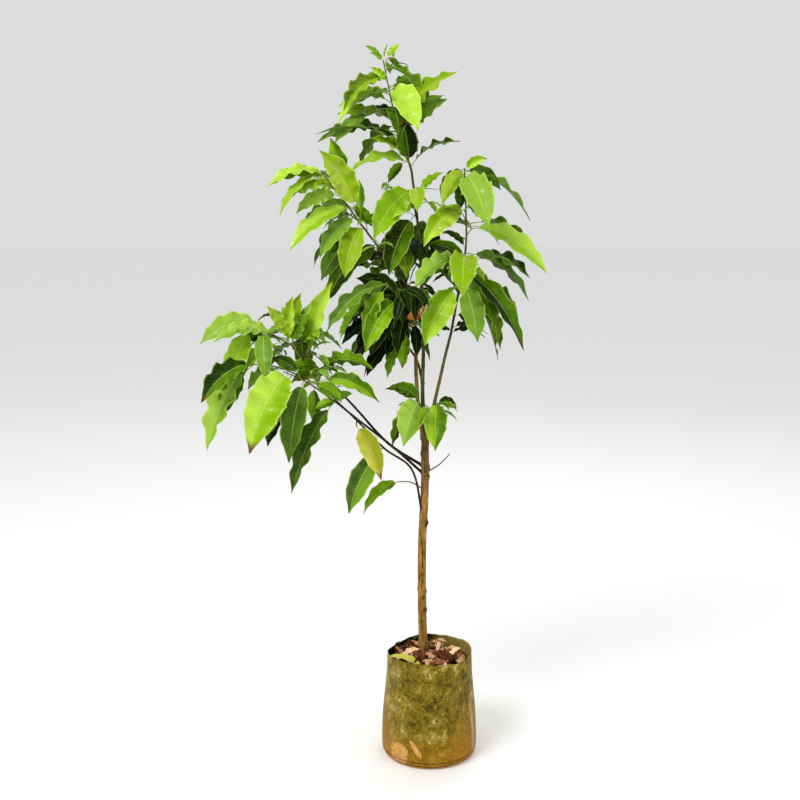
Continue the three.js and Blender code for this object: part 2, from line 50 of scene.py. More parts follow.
def add_object(name, data):
    """A new object of the scene that shows that data."""
    made = bpy.data.objects.new(name, data)
    bpy.context.scene.collection.objects.link(made)
    return made


lens = bpy.data.cameras.new("camera")
lens.sensor_fit = "HORIZONTAL"
lens.sensor_width = CAMERA_SENSOR
lens.lens = CAMERA_LENS
camera = add_object("camera", lens)
camera.location = CAMERA_PLACE
camera.rotation_euler = (radians(90 - CAMERA_DOWN), 0, radians(CAMERA_LEFT))
bpy.context.scene.camera = camera

# The grow bag
# A round nursery bag of thin plastic sheet, welded shut at the foot, with its rim folded flat at the back
# left. Algae grow over most of it, orange mud lies low down, and two patches at the front are rubbed bare.
# Painted highlights run along its creases, down a stripe at the front right and round the foot weld, with
# painted shadow beside the creases and in the grooves by the welds. Inside, the wall is painted in shade
# on the left and lit on the right.

BAG_HEIGHT = 283
BAG_PROFILE = [(113, 0), (121, 5), (126, 18), (127.5, 60), (123, 130), (115.5, 210), (113.6, 246),
               (112, BAG_HEIGHT)]  # radius and height
BAG_SHEET = 1.2
BAG_SIDES = 160
BAG_ROWS = 90
BAG_INNER_ROWS = 40
ROW_SPREAD = 1.15  # rows stand closer near the foot
LIP_RISE = 0.5
SPAN_STEPS = 60
RIM_FOLD = {"bearing": 140, "depth": 0.2, "half_width": 42, "from": 246}
RIM_WAVES = [(0.7, 11, 2), (0.5, 23, 0), (2.5, 3, 1)]  # height, how many round the rim, and phase
WELDS = [(4.5, 1.3, 2.2), (12.5, 1.1, 2.0)]  # height, how far each stands out, and its half-width
# Heights of two painted shadow lines: the groove between the welds and the one just above the upper weld
GROOVES = (0.0085, 0.0185)  # heights in metres
DENTS = 60
DENTS_FROM = 30
DENT_FADE = (8, 40)
DENT_DEPTH = (-2.8, 1.8)
DENT_WIDTH = (7, 28)
DENT_LEAN = (-0.9, 0.9)
DENT_SEED = 3

# Moss green of the algae, also laid as painted shadow beside the creases
BAG_MOSS_AND_SHADE = (76, 64, 2)
# Pale painted sheen: the palest colour of the algae mottle, and the painted highlight along the crease lines
BAG_PAINTED_SHEEN = (220, 200, 118)
BAG_COATS = [(0.41, BAG_MOSS_AND_SHADE), (0.46, (128, 110, 8)), (0.525, (158, 136, 32)), (0.59, BAG_PAINTED_SHEEN)]
BAG_MUD = (168, 122, 0)
BAG_RUST = (192, 130, 12)
# Pale bare plastic of the rubbed patches; the same colour is the painted glint round the foot weld
BAG_BARE_AND_GLINT = (252, 194, 112)
BAG_RUBBED = (224, 152, 72)
# A stripe of painted highlight, as glossy plastic would reflect, runs down the front right at this bearing
BAG_PAINTED_HIGHLIGHT = (226, 212, 170)
HIGHLIGHT_BEARING = -0.36  # in radians
BAG_DIRT = (40, 32, 4)
BAG_SPECKS = (226, 222, 170)
GROOVE_PAINTED_SHADOW = (70, 36, 12)
# Inside the bag the wall is painted lit on the right and in shade on the left, then flecked with moss
INSIDE_LIT = (214, 190, 96)
INSIDE_PAINTED_SHADE = (14, 14, 4)
INSIDE_GREEN = (150, 170, 60)
# Metres across and up, half-width, half-height and lean of each bare patch
BARE_PATCHES = [(-0.079, 0.033, 0.021, 0.029, 0.0), (-0.034, 0.056, 0.0075, 0.022, 0.55)]


def smooth_path(points, shares):
    """The points at those shares of the length of a curve through all the given points. Each span is a
    cubic whose end slopes come from the points around it, weighted by the square roots of their
    distances."""
    p = np.array(points, float)
    p = np.vstack([2 * p[0] - p[1], p, 2 * p[-1] - p[-2]])
    steps = np.sqrt(np.linalg.norm(np.diff(p, axis=0), axis=1))[:, None]
    before, here, after = steps[:-2], steps[1:-1], steps[2:]
    a, b, c, d = p[:-3], p[1:-2], p[2:-1], p[3:]
    leave = ((b - a) / before - (c - a) / (before + here) + (c - b) / here) * here
    arrive = ((c - b) / here - (d - b) / (here + after) + (d - c) / after) * here
    t = np.linspace(0, 1, SPAN_STEPS)[:, None, None]
    spans = b + leave * t + (3 * (c - b) - 2 * leave - arrive) * t ** 2
    spans = spans + (2 * (b - c) + leave + arrive) * t ** 3
    walk = spans.transpose(1, 0, 2).reshape(-1, p.shape[1])
    gone = np.append(0, np.cumsum(np.linalg.norm(np.diff(walk, axis=0), axis=1)))
    return np.stack([np.interp(np.asarray(shares) * gone[-1], gone, line) for line in walk.T], axis=-1)


def smooth_step(value, low, high):
    """0 below low and 1 above high, by 3 t squared less 2 t cubed in between."""
    t = np.clip((value - low) / (high - low), 0, 1)
    return t * t * (3 - 2 * t)


def grid_faces(rows, columns):
    """The four-cornered faces between closed rings of places that are stored one ring after another."""
    row, column = np.meshgrid(np.arange(rows - 1), np.arange(columns), indexing="ij")
    here, beside = row * columns + column, row * columns + (column + 1) % columns
    return np.stack([here, beside, beside + columns, here + columns], axis=-1).reshape(-1, 4)


def fan_faces(ring, pole):
    """Three-cornered faces from each side of a closed ring of places to one pole."""
    return np.stack([ring, np.roll(ring, -1), np.full(len(ring), pole)], axis=-1)


def skins(rings, starts, ends, values, sides=None):
    """A part made of closed skins, one for each stack of rings, with a pole before its first ring and one
    after its last. Each value comes as its numbers over the rings, at the first poles and at the last
    ones."""
    count, rows, columns = shape = rings.shape[:3]
    places = np.concatenate([rings.reshape(count, -1, 3), starts[:, None], ends[:, None]], axis=1)
    blocks = [grid_faces(rows, columns) if sides is None else sides,
              fan_faces(np.arange(columns)[::-1], rows * columns),
              fan_faces((rows - 1) * columns + np.arange(columns), rows * columns + 1)]
    shift = np.arange(count)[:, None, None] * places.shape[1]
    held = {}
    for key, (over, *poles) in values.items():
        poles = [np.broadcast_to(pole, (count, 1)) for pole in poles]
        held[key] = np.concatenate([np.broadcast_to(over, shape).reshape(count, -1), *poles], axis=1).ravel()
    faces = [(block[None] + shift).reshape(-1, block.shape[1]) for block in blocks]
    return {"places": places.reshape(-1, 3), "faces": faces, "values": held}


def make_piece(name, parts, material, nodes=(), sharp=60):
    """A mesh out of parts, each with its places in millimetres, its blocks of faces and the values that its
    material reads at each place. It is drawn in the place of those nodes, and edges over the sharp angle
    stay sharp."""
    starts = np.cumsum([0] + [len(part["places"]) for part in parts])
    faces = [(block + start).tolist() for part, start in zip(parts, starts) for block in part["faces"]]
    mesh = bpy.data.meshes.new(name)
    mesh.from_pydata((np.concatenate([part["places"] for part in parts]) / 1000).tolist(), [], sum(faces, []))
    for key in parts[0]["values"]:
        values = np.concatenate([part["values"][key] for part in parts]).astype(np.float32)
        mesh.attributes.new(key, "FLOAT", "POINT").data.foreach_set("value", values)
    mesh.materials.append(material)
    mesh.shade_smooth()
    mesh.set_sharp_from_angle(angle=radians(sharp))
    made = add_object(name, mesh)
    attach(made, "root")
    if nodes:
        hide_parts(*nodes)


def srgb(colour):
    """A colour of 0 to 255 as Blender's linear colour."""
    share = np.array(colour) / 255
    return (*np.where(share < 0.04045, share / 12.92, ((share + 0.055) / 1.055) ** 2.4), 1)


class Paint:
    """One socket of a material's node tree. Arithmetic on it adds Math nodes."""

    def __init__(self, tree, link):
        self.tree, self.link = tree, link

    def add(self, kind, sockets, output=0, **settings):
        """The output of a new node of that kind: its settings are made first, then each socket's value or
        link."""
        node = self.tree.nodes.new("ShaderNode" + kind)
        for key, value in settings.items():
            setattr(node, key, value)
        for key, value in sockets.items():
            if isinstance(value, Paint):
                self.tree.links.new(value.link, node.inputs[key])
            else:
                node.inputs[key].default_value = value
        return Paint(self.tree, node.outputs[output])

    def math(self, operation, *values):
        """The output of a Math node of that operation."""
        return self.add("Math", dict(enumerate(values)), operation=operation)

    def __add__(self, other):
        return self.math("ADD", self, other)

    def __sub__(self, other):
        return self.math("SUBTRACT", self, other)

    def __rsub__(self, other):
        return self.math("SUBTRACT", other, self)

    def __mul__(self, other):
        return self.math("MULTIPLY", self, other)

    def __truediv__(self, other):
        return self.math("DIVIDE", self, other)

    def __pow__(self, other):
        return self.math("POWER", self, other)

    def __abs__(self):
        return self.math("ABSOLUTE", self)

    __radd__ = __add__

    def rise(self, low, high):
        """0 below low, 1 above high and smooth in between."""
        return self.add("MapRange", {0: self, 1: low, 2: high}, interpolation_type="SMOOTHSTEP")

    def fall(self, low, high):
        """1 below low, 0 above high and smooth in between."""
        return 1 - self.rise(low, high)

    def near(self, middle, low, high):
        """1 within low of the middle, 0 beyond high of it and smooth in between."""
        return abs(self - middle).fall(low, high)

    def most(self, limit):
        """The same, but never above the limit."""
        return self.math("MINIMUM", self, limit)

    def ramp(self, stops):
        """The colour that this picks out of stops, each a place from 0 to 1 and a colour."""
        picked = self.add("ValToRGB", {0: self})
        elements = picked.link.node.color_ramp.elements
        while len(elements) < len(stops):
            elements.new(0.5)
        for element, (place, colour) in zip(elements, stops):
            element.position = place
            element.color = srgb(colour)
        return picked

    def over(self, below, share):
        """This colour laid over another, by a share from 0 to 1."""
        return self.add("Mix", {0: share, 6: below, 7: self}, 2, data_type="RGBA")

    def coat(self, rgb, share):
        """This colour with a plain one laid over it, by a share from 0 to 1."""
        return self.colour(rgb).over(self, share)

    def value(self, name):
        """The number that the mesh holds under that name."""
        return self.add("Attribute", {}, "Fac", attribute_name=name)

    def noise(self, scale, detail=3, roughness=0.55, stretch=(1, 1, 1), warp=0):
        """Smooth noise of 0 to 1 with about that many lumps to the metre."""
        place = self.add("TexCoord", {}, "Object")
        place = self.add("Mapping", {"Vector": place, "Scale": stretch})
        return self.add("TexNoise", {"Vector": place, "Scale": scale, "Detail": detail,
                                     "Roughness": roughness, "Distortion": warp})

    def colour(self, rgb):
        """One plain colour."""
        plain = self.add("RGB", {})
        plain.link.default_value = srgb(rgb)
        return plain

    def axes(self):
        """The place on the object along X, Y and Z, in metres."""
        place = self.add("TexCoord", {}, "Object")
        return [self.add("SeparateXYZ", {0: place}, axis) for axis in range(3)]

    def join(self, shader, key):
        """Joins this to that socket of the shader."""
        self.tree.links.new(self.link, shader.inputs[key])


def new_material(name, specular=0.5):
    """A material, its shader node, and a Paint to start from."""
    material = bpy.data.materials.new(name)
    material.use_nodes = True
    shader = material.node_tree.nodes["Principled BSDF"]
    shader.inputs["Specular IOR Level"].default_value = specular
    return material, shader, Paint(material.node_tree, None)


def finish_material(shader, colour, roughness, height, depth):
    """Joins a surface's colour, roughness and bump to its shader. The depth is in metres."""
    colour.join(shader, "Base Color")
    roughness.join(shader, "Roughness")
    colour.add("Bump", {"Height": height, "Distance": depth, "Strength": 1.0}).join(shader, "Normal")


def bag_places(bearings, heights, inset):
    """Places on the bag's wall. The radius is the smooth profile's at that height, less a cosine-shaped
    flat where the rim is folded, plus two welds and seeded dents. Each of these fades from its middle as e
    to the power of less the distance squared. The rim also rises and falls by three sine waves."""
    outline = smooth_path(BAG_PROFILE, np.linspace(0, 1, 400))
    radius = np.interp(heights, outline[:, 1], outline[:, 0])
    fold = smooth_step(heights, RIM_FOLD["from"], BAG_HEIGHT)
    off = np.abs((bearings - RIM_FOLD["bearing"]) / RIM_FOLD["half_width"])
    flat = RIM_FOLD["depth"] * fold * np.cos(np.minimum(off, 1) * np.pi / 2)
    radius = radius * (1 - np.where(off < 1, flat, 0))
    for height, out, half in WELDS:
        radius = radius + out * np.exp(-(((heights - height) / half) ** 2))
    chance = np.random.default_rng(DENT_SEED)
    middle = np.stack([chance.uniform(0, 360, DENTS), chance.uniform(DENTS_FROM, BAG_HEIGHT, DENTS)])
    depth, width, lean = (chance.uniform(*limits, DENTS) for limits in (DENT_DEPTH, DENT_WIDTH, DENT_LEAN))
    away = ((bearings[..., None] - middle[0] + 180) % 360 - 180) * radius[..., None] * np.pi / 180
    rise = heights[..., None] - middle[1]
    dents = depth * np.exp(-((away + lean * rise) ** 2 + 0.25 * rise ** 2) / width ** 2)
    radius = radius + dents.sum(axis=-1) * smooth_step(heights, *DENT_FADE) - inset
    turn = np.radians(bearings)
    waves = sum(high * np.sin(turn * count + phase) for high, count, phase in RIM_WAVES)
    return np.stack([radius * np.cos(turn), radius * np.sin(turn), heights + fold * waves], axis=-1)


bearings = np.linspace(0, 360, BAG_SIDES, endpoint=False)
heights = BAG_HEIGHT * np.linspace(0, 1, BAG_ROWS) ** ROW_SPREAD
outside = bag_places(*np.meshgrid(bearings, heights), 0)
inside = bag_places(*np.meshgrid(bearings, np.linspace(BAG_HEIGHT, BAG_SHEET, BAG_INNER_ROWS)), BAG_SHEET)
lip = (outside[-1] + inside[0]) / 2 + [0, 0, LIP_RISE]
wall = np.concatenate([outside, lip[None], inside])
inwards = np.repeat([0.0, 0.5, 1.0], [BAG_ROWS, 1, BAG_INNER_ROWS])[:, None]
bag = skins(wall[None], np.zeros((1, 3)), np.array([[0, 0, BAG_SHEET]]), {"inside": (inwards, 0, 1)})

bag_sheet, shader, paint = new_material("bag_sheet", 0.08)
x, y, z = paint.axes()
lumps = paint.noise(16, 5, 0.6, warp=0.6)
mottle = paint.noise(42, 6, 0.68, warp=1.1)
crinkle = paint.noise(120, 4, 0.6, (1, 1, 0.7), warp=2.2)
grit = paint.noise(420, 2)
coats = (mottle * 0.42 + crinkle * 0.24 + lumps * 0.34).ramp(BAG_COATS)
low = (z + lumps * 0.10 - 0.05).fall(0.01, 0.13)
right = (x + lumps * 0.05).rise(0.04, 0.13) * (z + mottle * 0.07).fall(0.11, 0.23)
left = (0.0 - x + lumps * 0.04).rise(0.08, 0.15) * z.fall(0.1, 0.24) * 0.8
mud = (low * 0.8 + right * 0.8 + left) * (crinkle * 0.9 + mottle * 0.9 - 0.1)
earth = paint.colour(BAG_MUD).coat(BAG_RUST, (0.14 - z + mottle * 0.06).rise(0.06, 0.15))
colour = earth.over(coats, mud.most(0.92))
wander = paint.noise(34, 4, 0.55, warp=2.4)
# Painted highlight: thin pale lines that wander over the sheet, as light catches its creases
crease_highlight = wander.near(0.5, 0.002, 0.016)
colour = colour.coat(BAG_PAINTED_SHEEN, crease_highlight * mottle)
# Painted shadow: a dark line in the moss colour just beside each crease highlight
colour = colour.coat(BAG_MOSS_AND_SHADE, wander.near(0.53, 0.002, 0.014) * 0.6)
# Painted highlight: a pale stripe down the front right of the wall, leaning with height, about 2 to 16 cm up
around = paint.math("ARCTAN2", y, x) - HIGHLIGHT_BEARING + z * 0.5
highlight_stripe = around.near(0, 0.015, 0.09) * z.rise(0.01, 0.04) * z.fall(0.13, 0.19)
colour = colour.coat(BAG_PAINTED_HIGHLIGHT, highlight_stripe * (0.2 + mottle * 0.7))
spots = (grit * 0.5 + crinkle * 0.5).rise(0.63, 0.72) * lumps.rise(0.4, 0.6)
colour = colour.coat(BAG_DIRT, spots * 0.8)
colour = colour.coat(BAG_DIRT, paint.noise(85, 2, 0.4).rise(0.66, 0.70) * z.rise(0.08, 0.16) * 0.7)
colour = colour.coat(BAG_SPECKS, grit.rise(0.74, 0.80) * mottle.rise(0.5, 0.62) * 0.7)
for across, up, half_width, half_height, lean in BARE_PATCHES:
    rise = z - up
    off = ((x - across + rise * lean) / half_width) ** 2 + (rise / half_height) ** 4
    patch = (off + mottle * 3.2 + crinkle * 2.0 - 2.6).fall(0.8, 1.1) * y.fall(-0.05, -0.03)
    colour = paint.colour(BAG_BARE_AND_GLINT).coat(BAG_RUBBED, mottle * 0.5 + crinkle * 0.2).over(colour, patch)
# Painted shadow along the two grooves by the welds
for height in GROOVES:
    colour = colour.coat(GROOVE_PAINTED_SHADOW, z.near(height, 0.0006, 0.0026) * 0.75)
# Painted glint: a pale band round the foot weld, brightest where the mottle is light
colour = colour.coat(BAG_BARE_AND_GLINT, z.fall(0.004, 0.008) * (0.2 + mottle * 0.8))
# Painted light and shade inside: dark on the left, lit toward the right
inner = paint.colour(INSIDE_PAINTED_SHADE).coat(INSIDE_LIT, (x + lumps * 0.1 - 0.05).rise(-0.02, 0.07) * 0.9)
inner = inner.coat(INSIDE_GREEN, mottle.rise(0.56, 0.62) * 0.5)
inner = inner.coat(BAG_MOSS_AND_SHADE, crinkle.rise(0.5, 0.6) * 0.5)
colour = inner.over(colour, paint.value("inside").rise(0.4, 0.9))
height = crinkle * 0.7 + mottle * 0.9 + grit * 0.15 + crease_highlight * 0.3
finish_material(shader, colour, 0.24 + mottle * 0.3, height, 0.009)
make_piece("bag_wall", [bag], bag_sheet, ["grow_bag"])

# The soil and its litter
# Potting soil fills the bag to about 34 mm below its rim. Dry curled leaves lie scattered all over it.

SOIL_TOP = 249
SOIL_ROOM = 2.2
SOIL_DEPTH = 26
SOIL_RINGS = 36
SOIL_INMOST = 0.03
SKIRT_SHARE = 0.99
SOIL_BUMP = 2.6
SOIL_WAVES = (70, 41, 27, 17, 11)
SOIL_MOUND = {"height": 5, "x": -15, "radius": 30}
SOIL_SEED = 8
CHIPS = 130
CHIP_LENGTH = (20, 58)
CHIP_SHARE = (0.26, 0.5)
CHIP_RISE = (-8, 30)
CHIP_HEIGHT = (1, 12)
CHIP_TURN = (-30, 30)
CHIP_PETIOLE = 2
CHIP_EDGE = 104
CHIP_SPREAD = (0.03, 0.92)
CHIP_SEED = 21
CHIP_BLADES = {"seed": 5, "rows": 14, "columns": 5, "waves": (0.1, 0.34), "fold": (0.4, 1.2), "twist": 80,
               "sheet": 0.6}
ARCH = {"hanging": 0.05, "level": 0.12, "place": 0.42}
BLADE_BOW = 0.05
FRONT = (0, -1, 0)
SOIL_BROWNS = [(0.3, (16, 11, 8)), (0.5, (38, 26, 18)), (0.62, (72, 50, 34)), (0.75, (120, 92, 64))]
CHIP_BROWNS = [(0.0, (44, 18, 8)), (0.3, (122, 70, 38)), (0.55, (192, 132, 88)), (0.85, (255, 220, 178))]
CHIP_RIB = (214, 180, 150)
CHIP_SPECKS = (44, 28, 20)


def heading(bearing, rise):
    """The unit arrow at a bearing round from +X and a rise above level, both in degrees."""
    bearing, rise = np.radians(bearing), np.radians(rise)
    return np.stack([np.cos(rise) * np.cos(bearing), np.cos(rise) * np.sin(bearing), np.sin(rise)], axis=-1)


def unit(arrows):
    """The same arrows at length one."""
    return arrows / np.linalg.norm(arrows, axis=-1, keepdims=True)


def all_over(value):
    """One number for each skin, the same at all its places."""
    return value, value[:, 0], value[:, 0]


def midribs(leaves, share):
    """The middle of each leaf and its arrows out of the face and sideways, at shares of its petiole and
    blade together. The middle is a quadratic curve: it sets out above the straight line and bends down to
    the tip. The face leans from its natural side toward the front by the leaf's turn."""
    foot, whole = leaves["foot"][:, None], (leaves["petiole"] + leaves["length"])[:, None, None]
    way = heading(leaves["bearing"], leaves["rise"])[:, None]
    up = heading(leaves["bearing"], leaves["rise"] + 90)[:, None]
    arch = ARCH["hanging"] + ARCH["level"] * np.cos(np.radians(leaves["rise"]))[:, None, None] ** 2
    bend = foot + way * ARCH["place"] * whole + up * 2 * arch * whole
    tip = foot + way * whole
    t = share[..., None]
    middle = (1 - t) ** 2 * foot + 2 * t * (1 - t) * bend + t ** 2 * tip
    along = unit((1 - t) * (bend - foot) + t * (tip - bend))
    own = unit(up - along * (up * along).sum(axis=-1, keepdims=True))
    ahead = unit(FRONT - along * (along @ FRONT)[..., None])
    turn = leaves["turn"][:, None, None] / 90
    face = unit(own * (1 - np.abs(turn)) + ahead * turn)
    return middle, face, np.cross(along, face)


def blade_faces(rows, columns, top):
    """Triangles between the rings of a blade whose first places are its top. The underside is cut along the
    same diagonals as the top, so that the two sides of the thin sheet never cross."""
    quads = grid_faces(rows, columns)
    under = (quads[:, :1] % columns) >= top - 1
    return np.concatenate([np.where(under, quads[:, [0, 1, 3]], quads[:, :3]),
                           np.where(under, quads[:, 1:], quads[:, [0, 2, 3]])])


def leaf_blades(leaves, seed, rows=36, columns=7, waves=(0.12, 0.32), fold=(0.12, 0.46), twist=34, sheet=0.5):
    """Thin closed blades, all of them at once. Half the width is the sine of pi times u to the power 0.8,
    to the power 0.7, drawn in to a point at the tip. Each half rises from the midrib by the fold, and its
    margin waves by a sine that grows from the midrib as the power 1.6, with its own phase on each side."""
    chance = np.random.default_rng(seed)
    count = len(leaves["foot"])

    def draw(low, high):
        return chance.uniform(low, high, (count, 1, 1))

    u = np.linspace(0.01, 0.985, rows)
    neck = (leaves["petiole"] / (leaves["petiole"] + leaves["length"]))[:, None]
    middle, face, side = midribs(leaves, neck + (1 - neck) * u)
    angle = np.radians(draw(-twist, twist)) * (u - 0.25)[None, :, None]
    side, face = side * np.cos(angle) + face * np.sin(angle), face * np.cos(angle) - side * np.sin(angle)
    bow = draw(-BLADE_BOW, BLADE_BOW) * leaves["length"][:, None, None]
    middle = middle + side * bow * u[None, :, None] ** 2
    outline = np.sin(np.pi * u ** 0.8) ** 0.7 * (1 - 0.45 * smooth_step(u, 0.78, 0.97))
    half = np.maximum(leaves["width"][:, None] / 2 * outline, 0.9)[..., None]
    v = np.linspace(-1, 1, columns)
    v = np.concatenate([v, v[-2:0:-1]])
    lower = np.concatenate([np.zeros(columns), np.ones(columns - 2)])
    phase = np.where(v > 0, draw(0, 6.3), draw(0, 6.3)) + 2 * np.pi * draw(3.0, 4.8) * u[None, :, None] ** 0.9
    lift = draw(*fold) * np.abs(v) ** 1.15 * half
    wobble = np.sin(phase) + 0.2 * np.sin(2.3 * phase + draw(0, 6.3))
    margin = draw(*waves) * np.abs(v) ** 1.6 * half * wobble
    rib = 0.8 * (1 - u)[:, None] * (np.abs(v) < 0.1)
    high = lift + margin - lower * (sheet * (1 - v ** 2) + rib)
    right = v * half * (1 + 0.045 * np.sin(phase + 1.2) + 0.02 * np.sin(2.1 * phase))
    rings = middle[:, :, None] + side[:, :, None] * right[..., None] + face[:, :, None] * high[..., None]
    tips = midribs(leaves, np.ones((count, 1)))[0][:, 0] + (side * bow)[:, -1]
    # Painted light: by its lean one half of each blade is painted lighter and the other darker, as light
    # falls on the fold
    luck, lean = draw(0, 1), draw(-1, 1)
    values = {
        "young": all_over(1 - smooth_step(leaves["length"], 45, 110)[:, None, None]),
        "lean": (lean * np.sign(v), 0, 0),
        "along": (u[:, None], 0, 1),
        "across": (v, 0, 0),
        "under": (lower, 0, 0),
        "tone": all_over(leaves["tone"][:, None, None]),
        "luck": all_over(luck),
    }
    return skins(rings, middle[:, 0], tips, values, blade_faces(rows, len(v), columns))


def leaf_list(rows):
    """Named columns out of a list of leaves: foot, bearing, rise, petiole, length, width, turn and tone."""
    names = ("foot", "bearing", "rise", "petiole", "length", "width", "turn", "tone")
    return {name: np.array(column, float) for name, column in zip(names, zip(*rows))}


def soil_height(x, y):
    """The lie of the soil: a sum of five sine waves in seeded directions, a little higher at the trunk."""
    chance = np.random.default_rng(SOIL_SEED)
    bumps = 0
    for width in SOIL_WAVES:
        turn, phase = chance.uniform(0, 6.3, 2)
        along = x * np.cos(turn) + y * np.sin(turn)
        bumps = bumps + np.sin(6.3 * along / width + phase) * width ** 0.5 / 12
    mound = np.exp(-((x - SOIL_MOUND["x"]) ** 2 + y ** 2) / SOIL_MOUND["radius"] ** 2)
    return SOIL_TOP + SOIL_BUMP * bumps + SOIL_MOUND["height"] * mound


rim = bag_places(bearings, np.full(BAG_SIDES, SOIL_TOP), BAG_SHEET + SOIL_ROOM)[:, :2]
flat = rim[None] * np.linspace(1, SOIL_INMOST, SOIL_RINGS)[:, None, None]
top = np.concatenate([flat, soil_height(flat[..., 0], flat[..., 1])[..., None]], axis=-1)
bottom = SOIL_TOP - SOIL_DEPTH
skirt = np.concatenate([rim[None] * SKIRT_SHARE, np.full((1, BAG_SIDES, 1), bottom)], axis=-1)
soil_plug = skins(np.concatenate([skirt, top])[None], np.array([[0, 0, bottom]]),
                  np.array([[0, 0, soil_height(0, 0)]]), {})

potting_soil, shader, paint = new_material("potting_soil", 0.1)
clods = paint.noise(90, 5, 0.7)
crumbs = paint.noise(380, 4, 0.7)
colour = (clods * 0.5 + crumbs * 0.5).ramp(SOIL_BROWNS)
finish_material(shader, colour, 0.85 + clods * 0.1, clods + crumbs * 0.6, 0.006)
make_piece("potting_soil", [soil_plug], potting_soil, ["soil"])

chance = np.random.default_rng(CHIP_SEED)
chips = []
while len(chips) < CHIPS:
    bearing, out = chance.uniform(0, 360), CHIP_EDGE * chance.uniform(*CHIP_SPREAD) ** 0.5
    foot = heading(bearing, 0) * out
    foot[2] = soil_height(foot[0], foot[1]) + chance.uniform(*CHIP_HEIGHT)
    length = chance.uniform(*CHIP_LENGTH)
    way = chance.uniform(0, 360)
    tip = foot + heading(way, 0) * length
    if np.hypot(tip[0], tip[1]) < CHIP_EDGE:
        rise, width = chance.uniform(*CHIP_RISE), length * chance.uniform(*CHIP_SHARE)
        turn, tone = chance.uniform(*CHIP_TURN), chance.uniform(0, 1)
        chips.append((foot, way, rise, CHIP_PETIOLE, length, width, turn, tone))

dry_litter, shader, paint = new_material("dry_litter", 0.12)
blotch = paint.noise(120, 4, 0.65)
colour = (paint.value("tone") * 0.9 + blotch * 0.6 - 0.24).ramp(CHIP_BROWNS)
rib = paint.value("across").near(0, 0.02, 0.12)
colour = colour.coat(CHIP_RIB, rib * 0.35)
colour = colour.coat(CHIP_SPECKS, paint.noise(260, 3).rise(0.6, 0.72) * 0.5)
finish_material(shader, colour, 0.75 + blotch * 0.15, blotch + rib * 0.4, 0.002)
make_piece("dry_litter", [leaf_blades(leaf_list(chips), **CHIP_BLADES)], dry_litter)

# The trunk
# A slim stem, leaning a little, with a flare at the soil. Its tan bark has fine fissures, rings where
# growth paused, and dark knots: seeded ones, and six at the heights where limbs leave.

TRUNK_PATH = [(-15, 0, 246), (-20, 0, 420), (-20, 0, 585), (-14, 0, 720), (-14, 0, 872)]
TRUNK_RADIUS = (11.5, 10)
TRUNK_TOP = (0.97, 0.9, 0.75, 0.45)  # shares of the radius at the last rings
TRUNK_FLARE = 6
FLARE_HEIGHT = 60
TRUNK_RINGS = 300
TRUNK_SIDES = 44
TRUNK_NECK = {"from": 0.93, "to": 0.985, "less": 0.2}
TRUNK_ARC = 11  # the radius by which bearings turn into millimetres
TRUNK_RIDGES = (0.35, 7)  # height, and how many round the stem
FLARE_RIDGES = (2.2, 4)
TRUNK_KNOTS = 26
KNOT_PLACE = (20, 600)
KNOT_OUT = (0.8, 2.4)
KNOT_WIDTH = (3, 7)
KNOT_SEED = 31
# Knots at the heights where limbs leave: how far along the trunk, bearing from each ring's first place, how
# far it stands out, and width
COLLARS = [(390, 180, 3, 7), (512, 180, 3, 7), (532, 175, 3, 7), (520, 300, 3, 7), (600, 225, 3, 7),
           (612, 40, 3, 7)]
PAUSES = 20
PAUSE_STEP = (22, 58)
PAUSE_OUT = 0.55
PAUSE_WIDTH = 1.8
TAN_BARK = {
    "stops": [(0.36, (74, 46, 12)), (0.46, (126, 90, 34)), (0.55, (160, 120, 58)), (0.68, (206, 166, 104))],
    "dark": (40, 26, 14), "lichen": 0.3, "aged": 0.85}
BARK_TINT = (150, 106, 58)
BARK_AGED = (66, 54, 24)
BARK_LICHEN = (150, 152, 118)


def between(limits, share):
    """The number at that share of the way between two limits."""
    return limits[0] + (limits[1] - limits[0]) * share


def walk_along(path, rings):
    """That many middles, evenly spread along a smooth path: each one's share of the way, place and
    distance."""
    share = np.linspace(0, 1, rings)
    middles = smooth_path(path, share)
    return share, middles, share * np.linalg.norm(np.diff(middles, axis=0), axis=1).sum()


def tube(middles, radii, sides, values, relief=0):
    """A round skin along a line of middles, closed at both ends. Each ring lies square to the line, and the
    relief adds to its radius."""
    along = unit(np.gradient(middles, axis=0))
    aside = unit(np.cross(along, (0.21, 0.97, 0.13)))
    across = np.cross(along, aside)
    turn = np.linspace(0, 2 * np.pi, sides, endpoint=False)[None, :, None]
    reach = (radii[:, None] + relief)[..., None]
    rings = middles[:, None] + reach * (aside[:, None] * np.cos(turn) + across[:, None] * np.sin(turn))
    return skins(rings[None], middles[:1], middles[-1:], values)


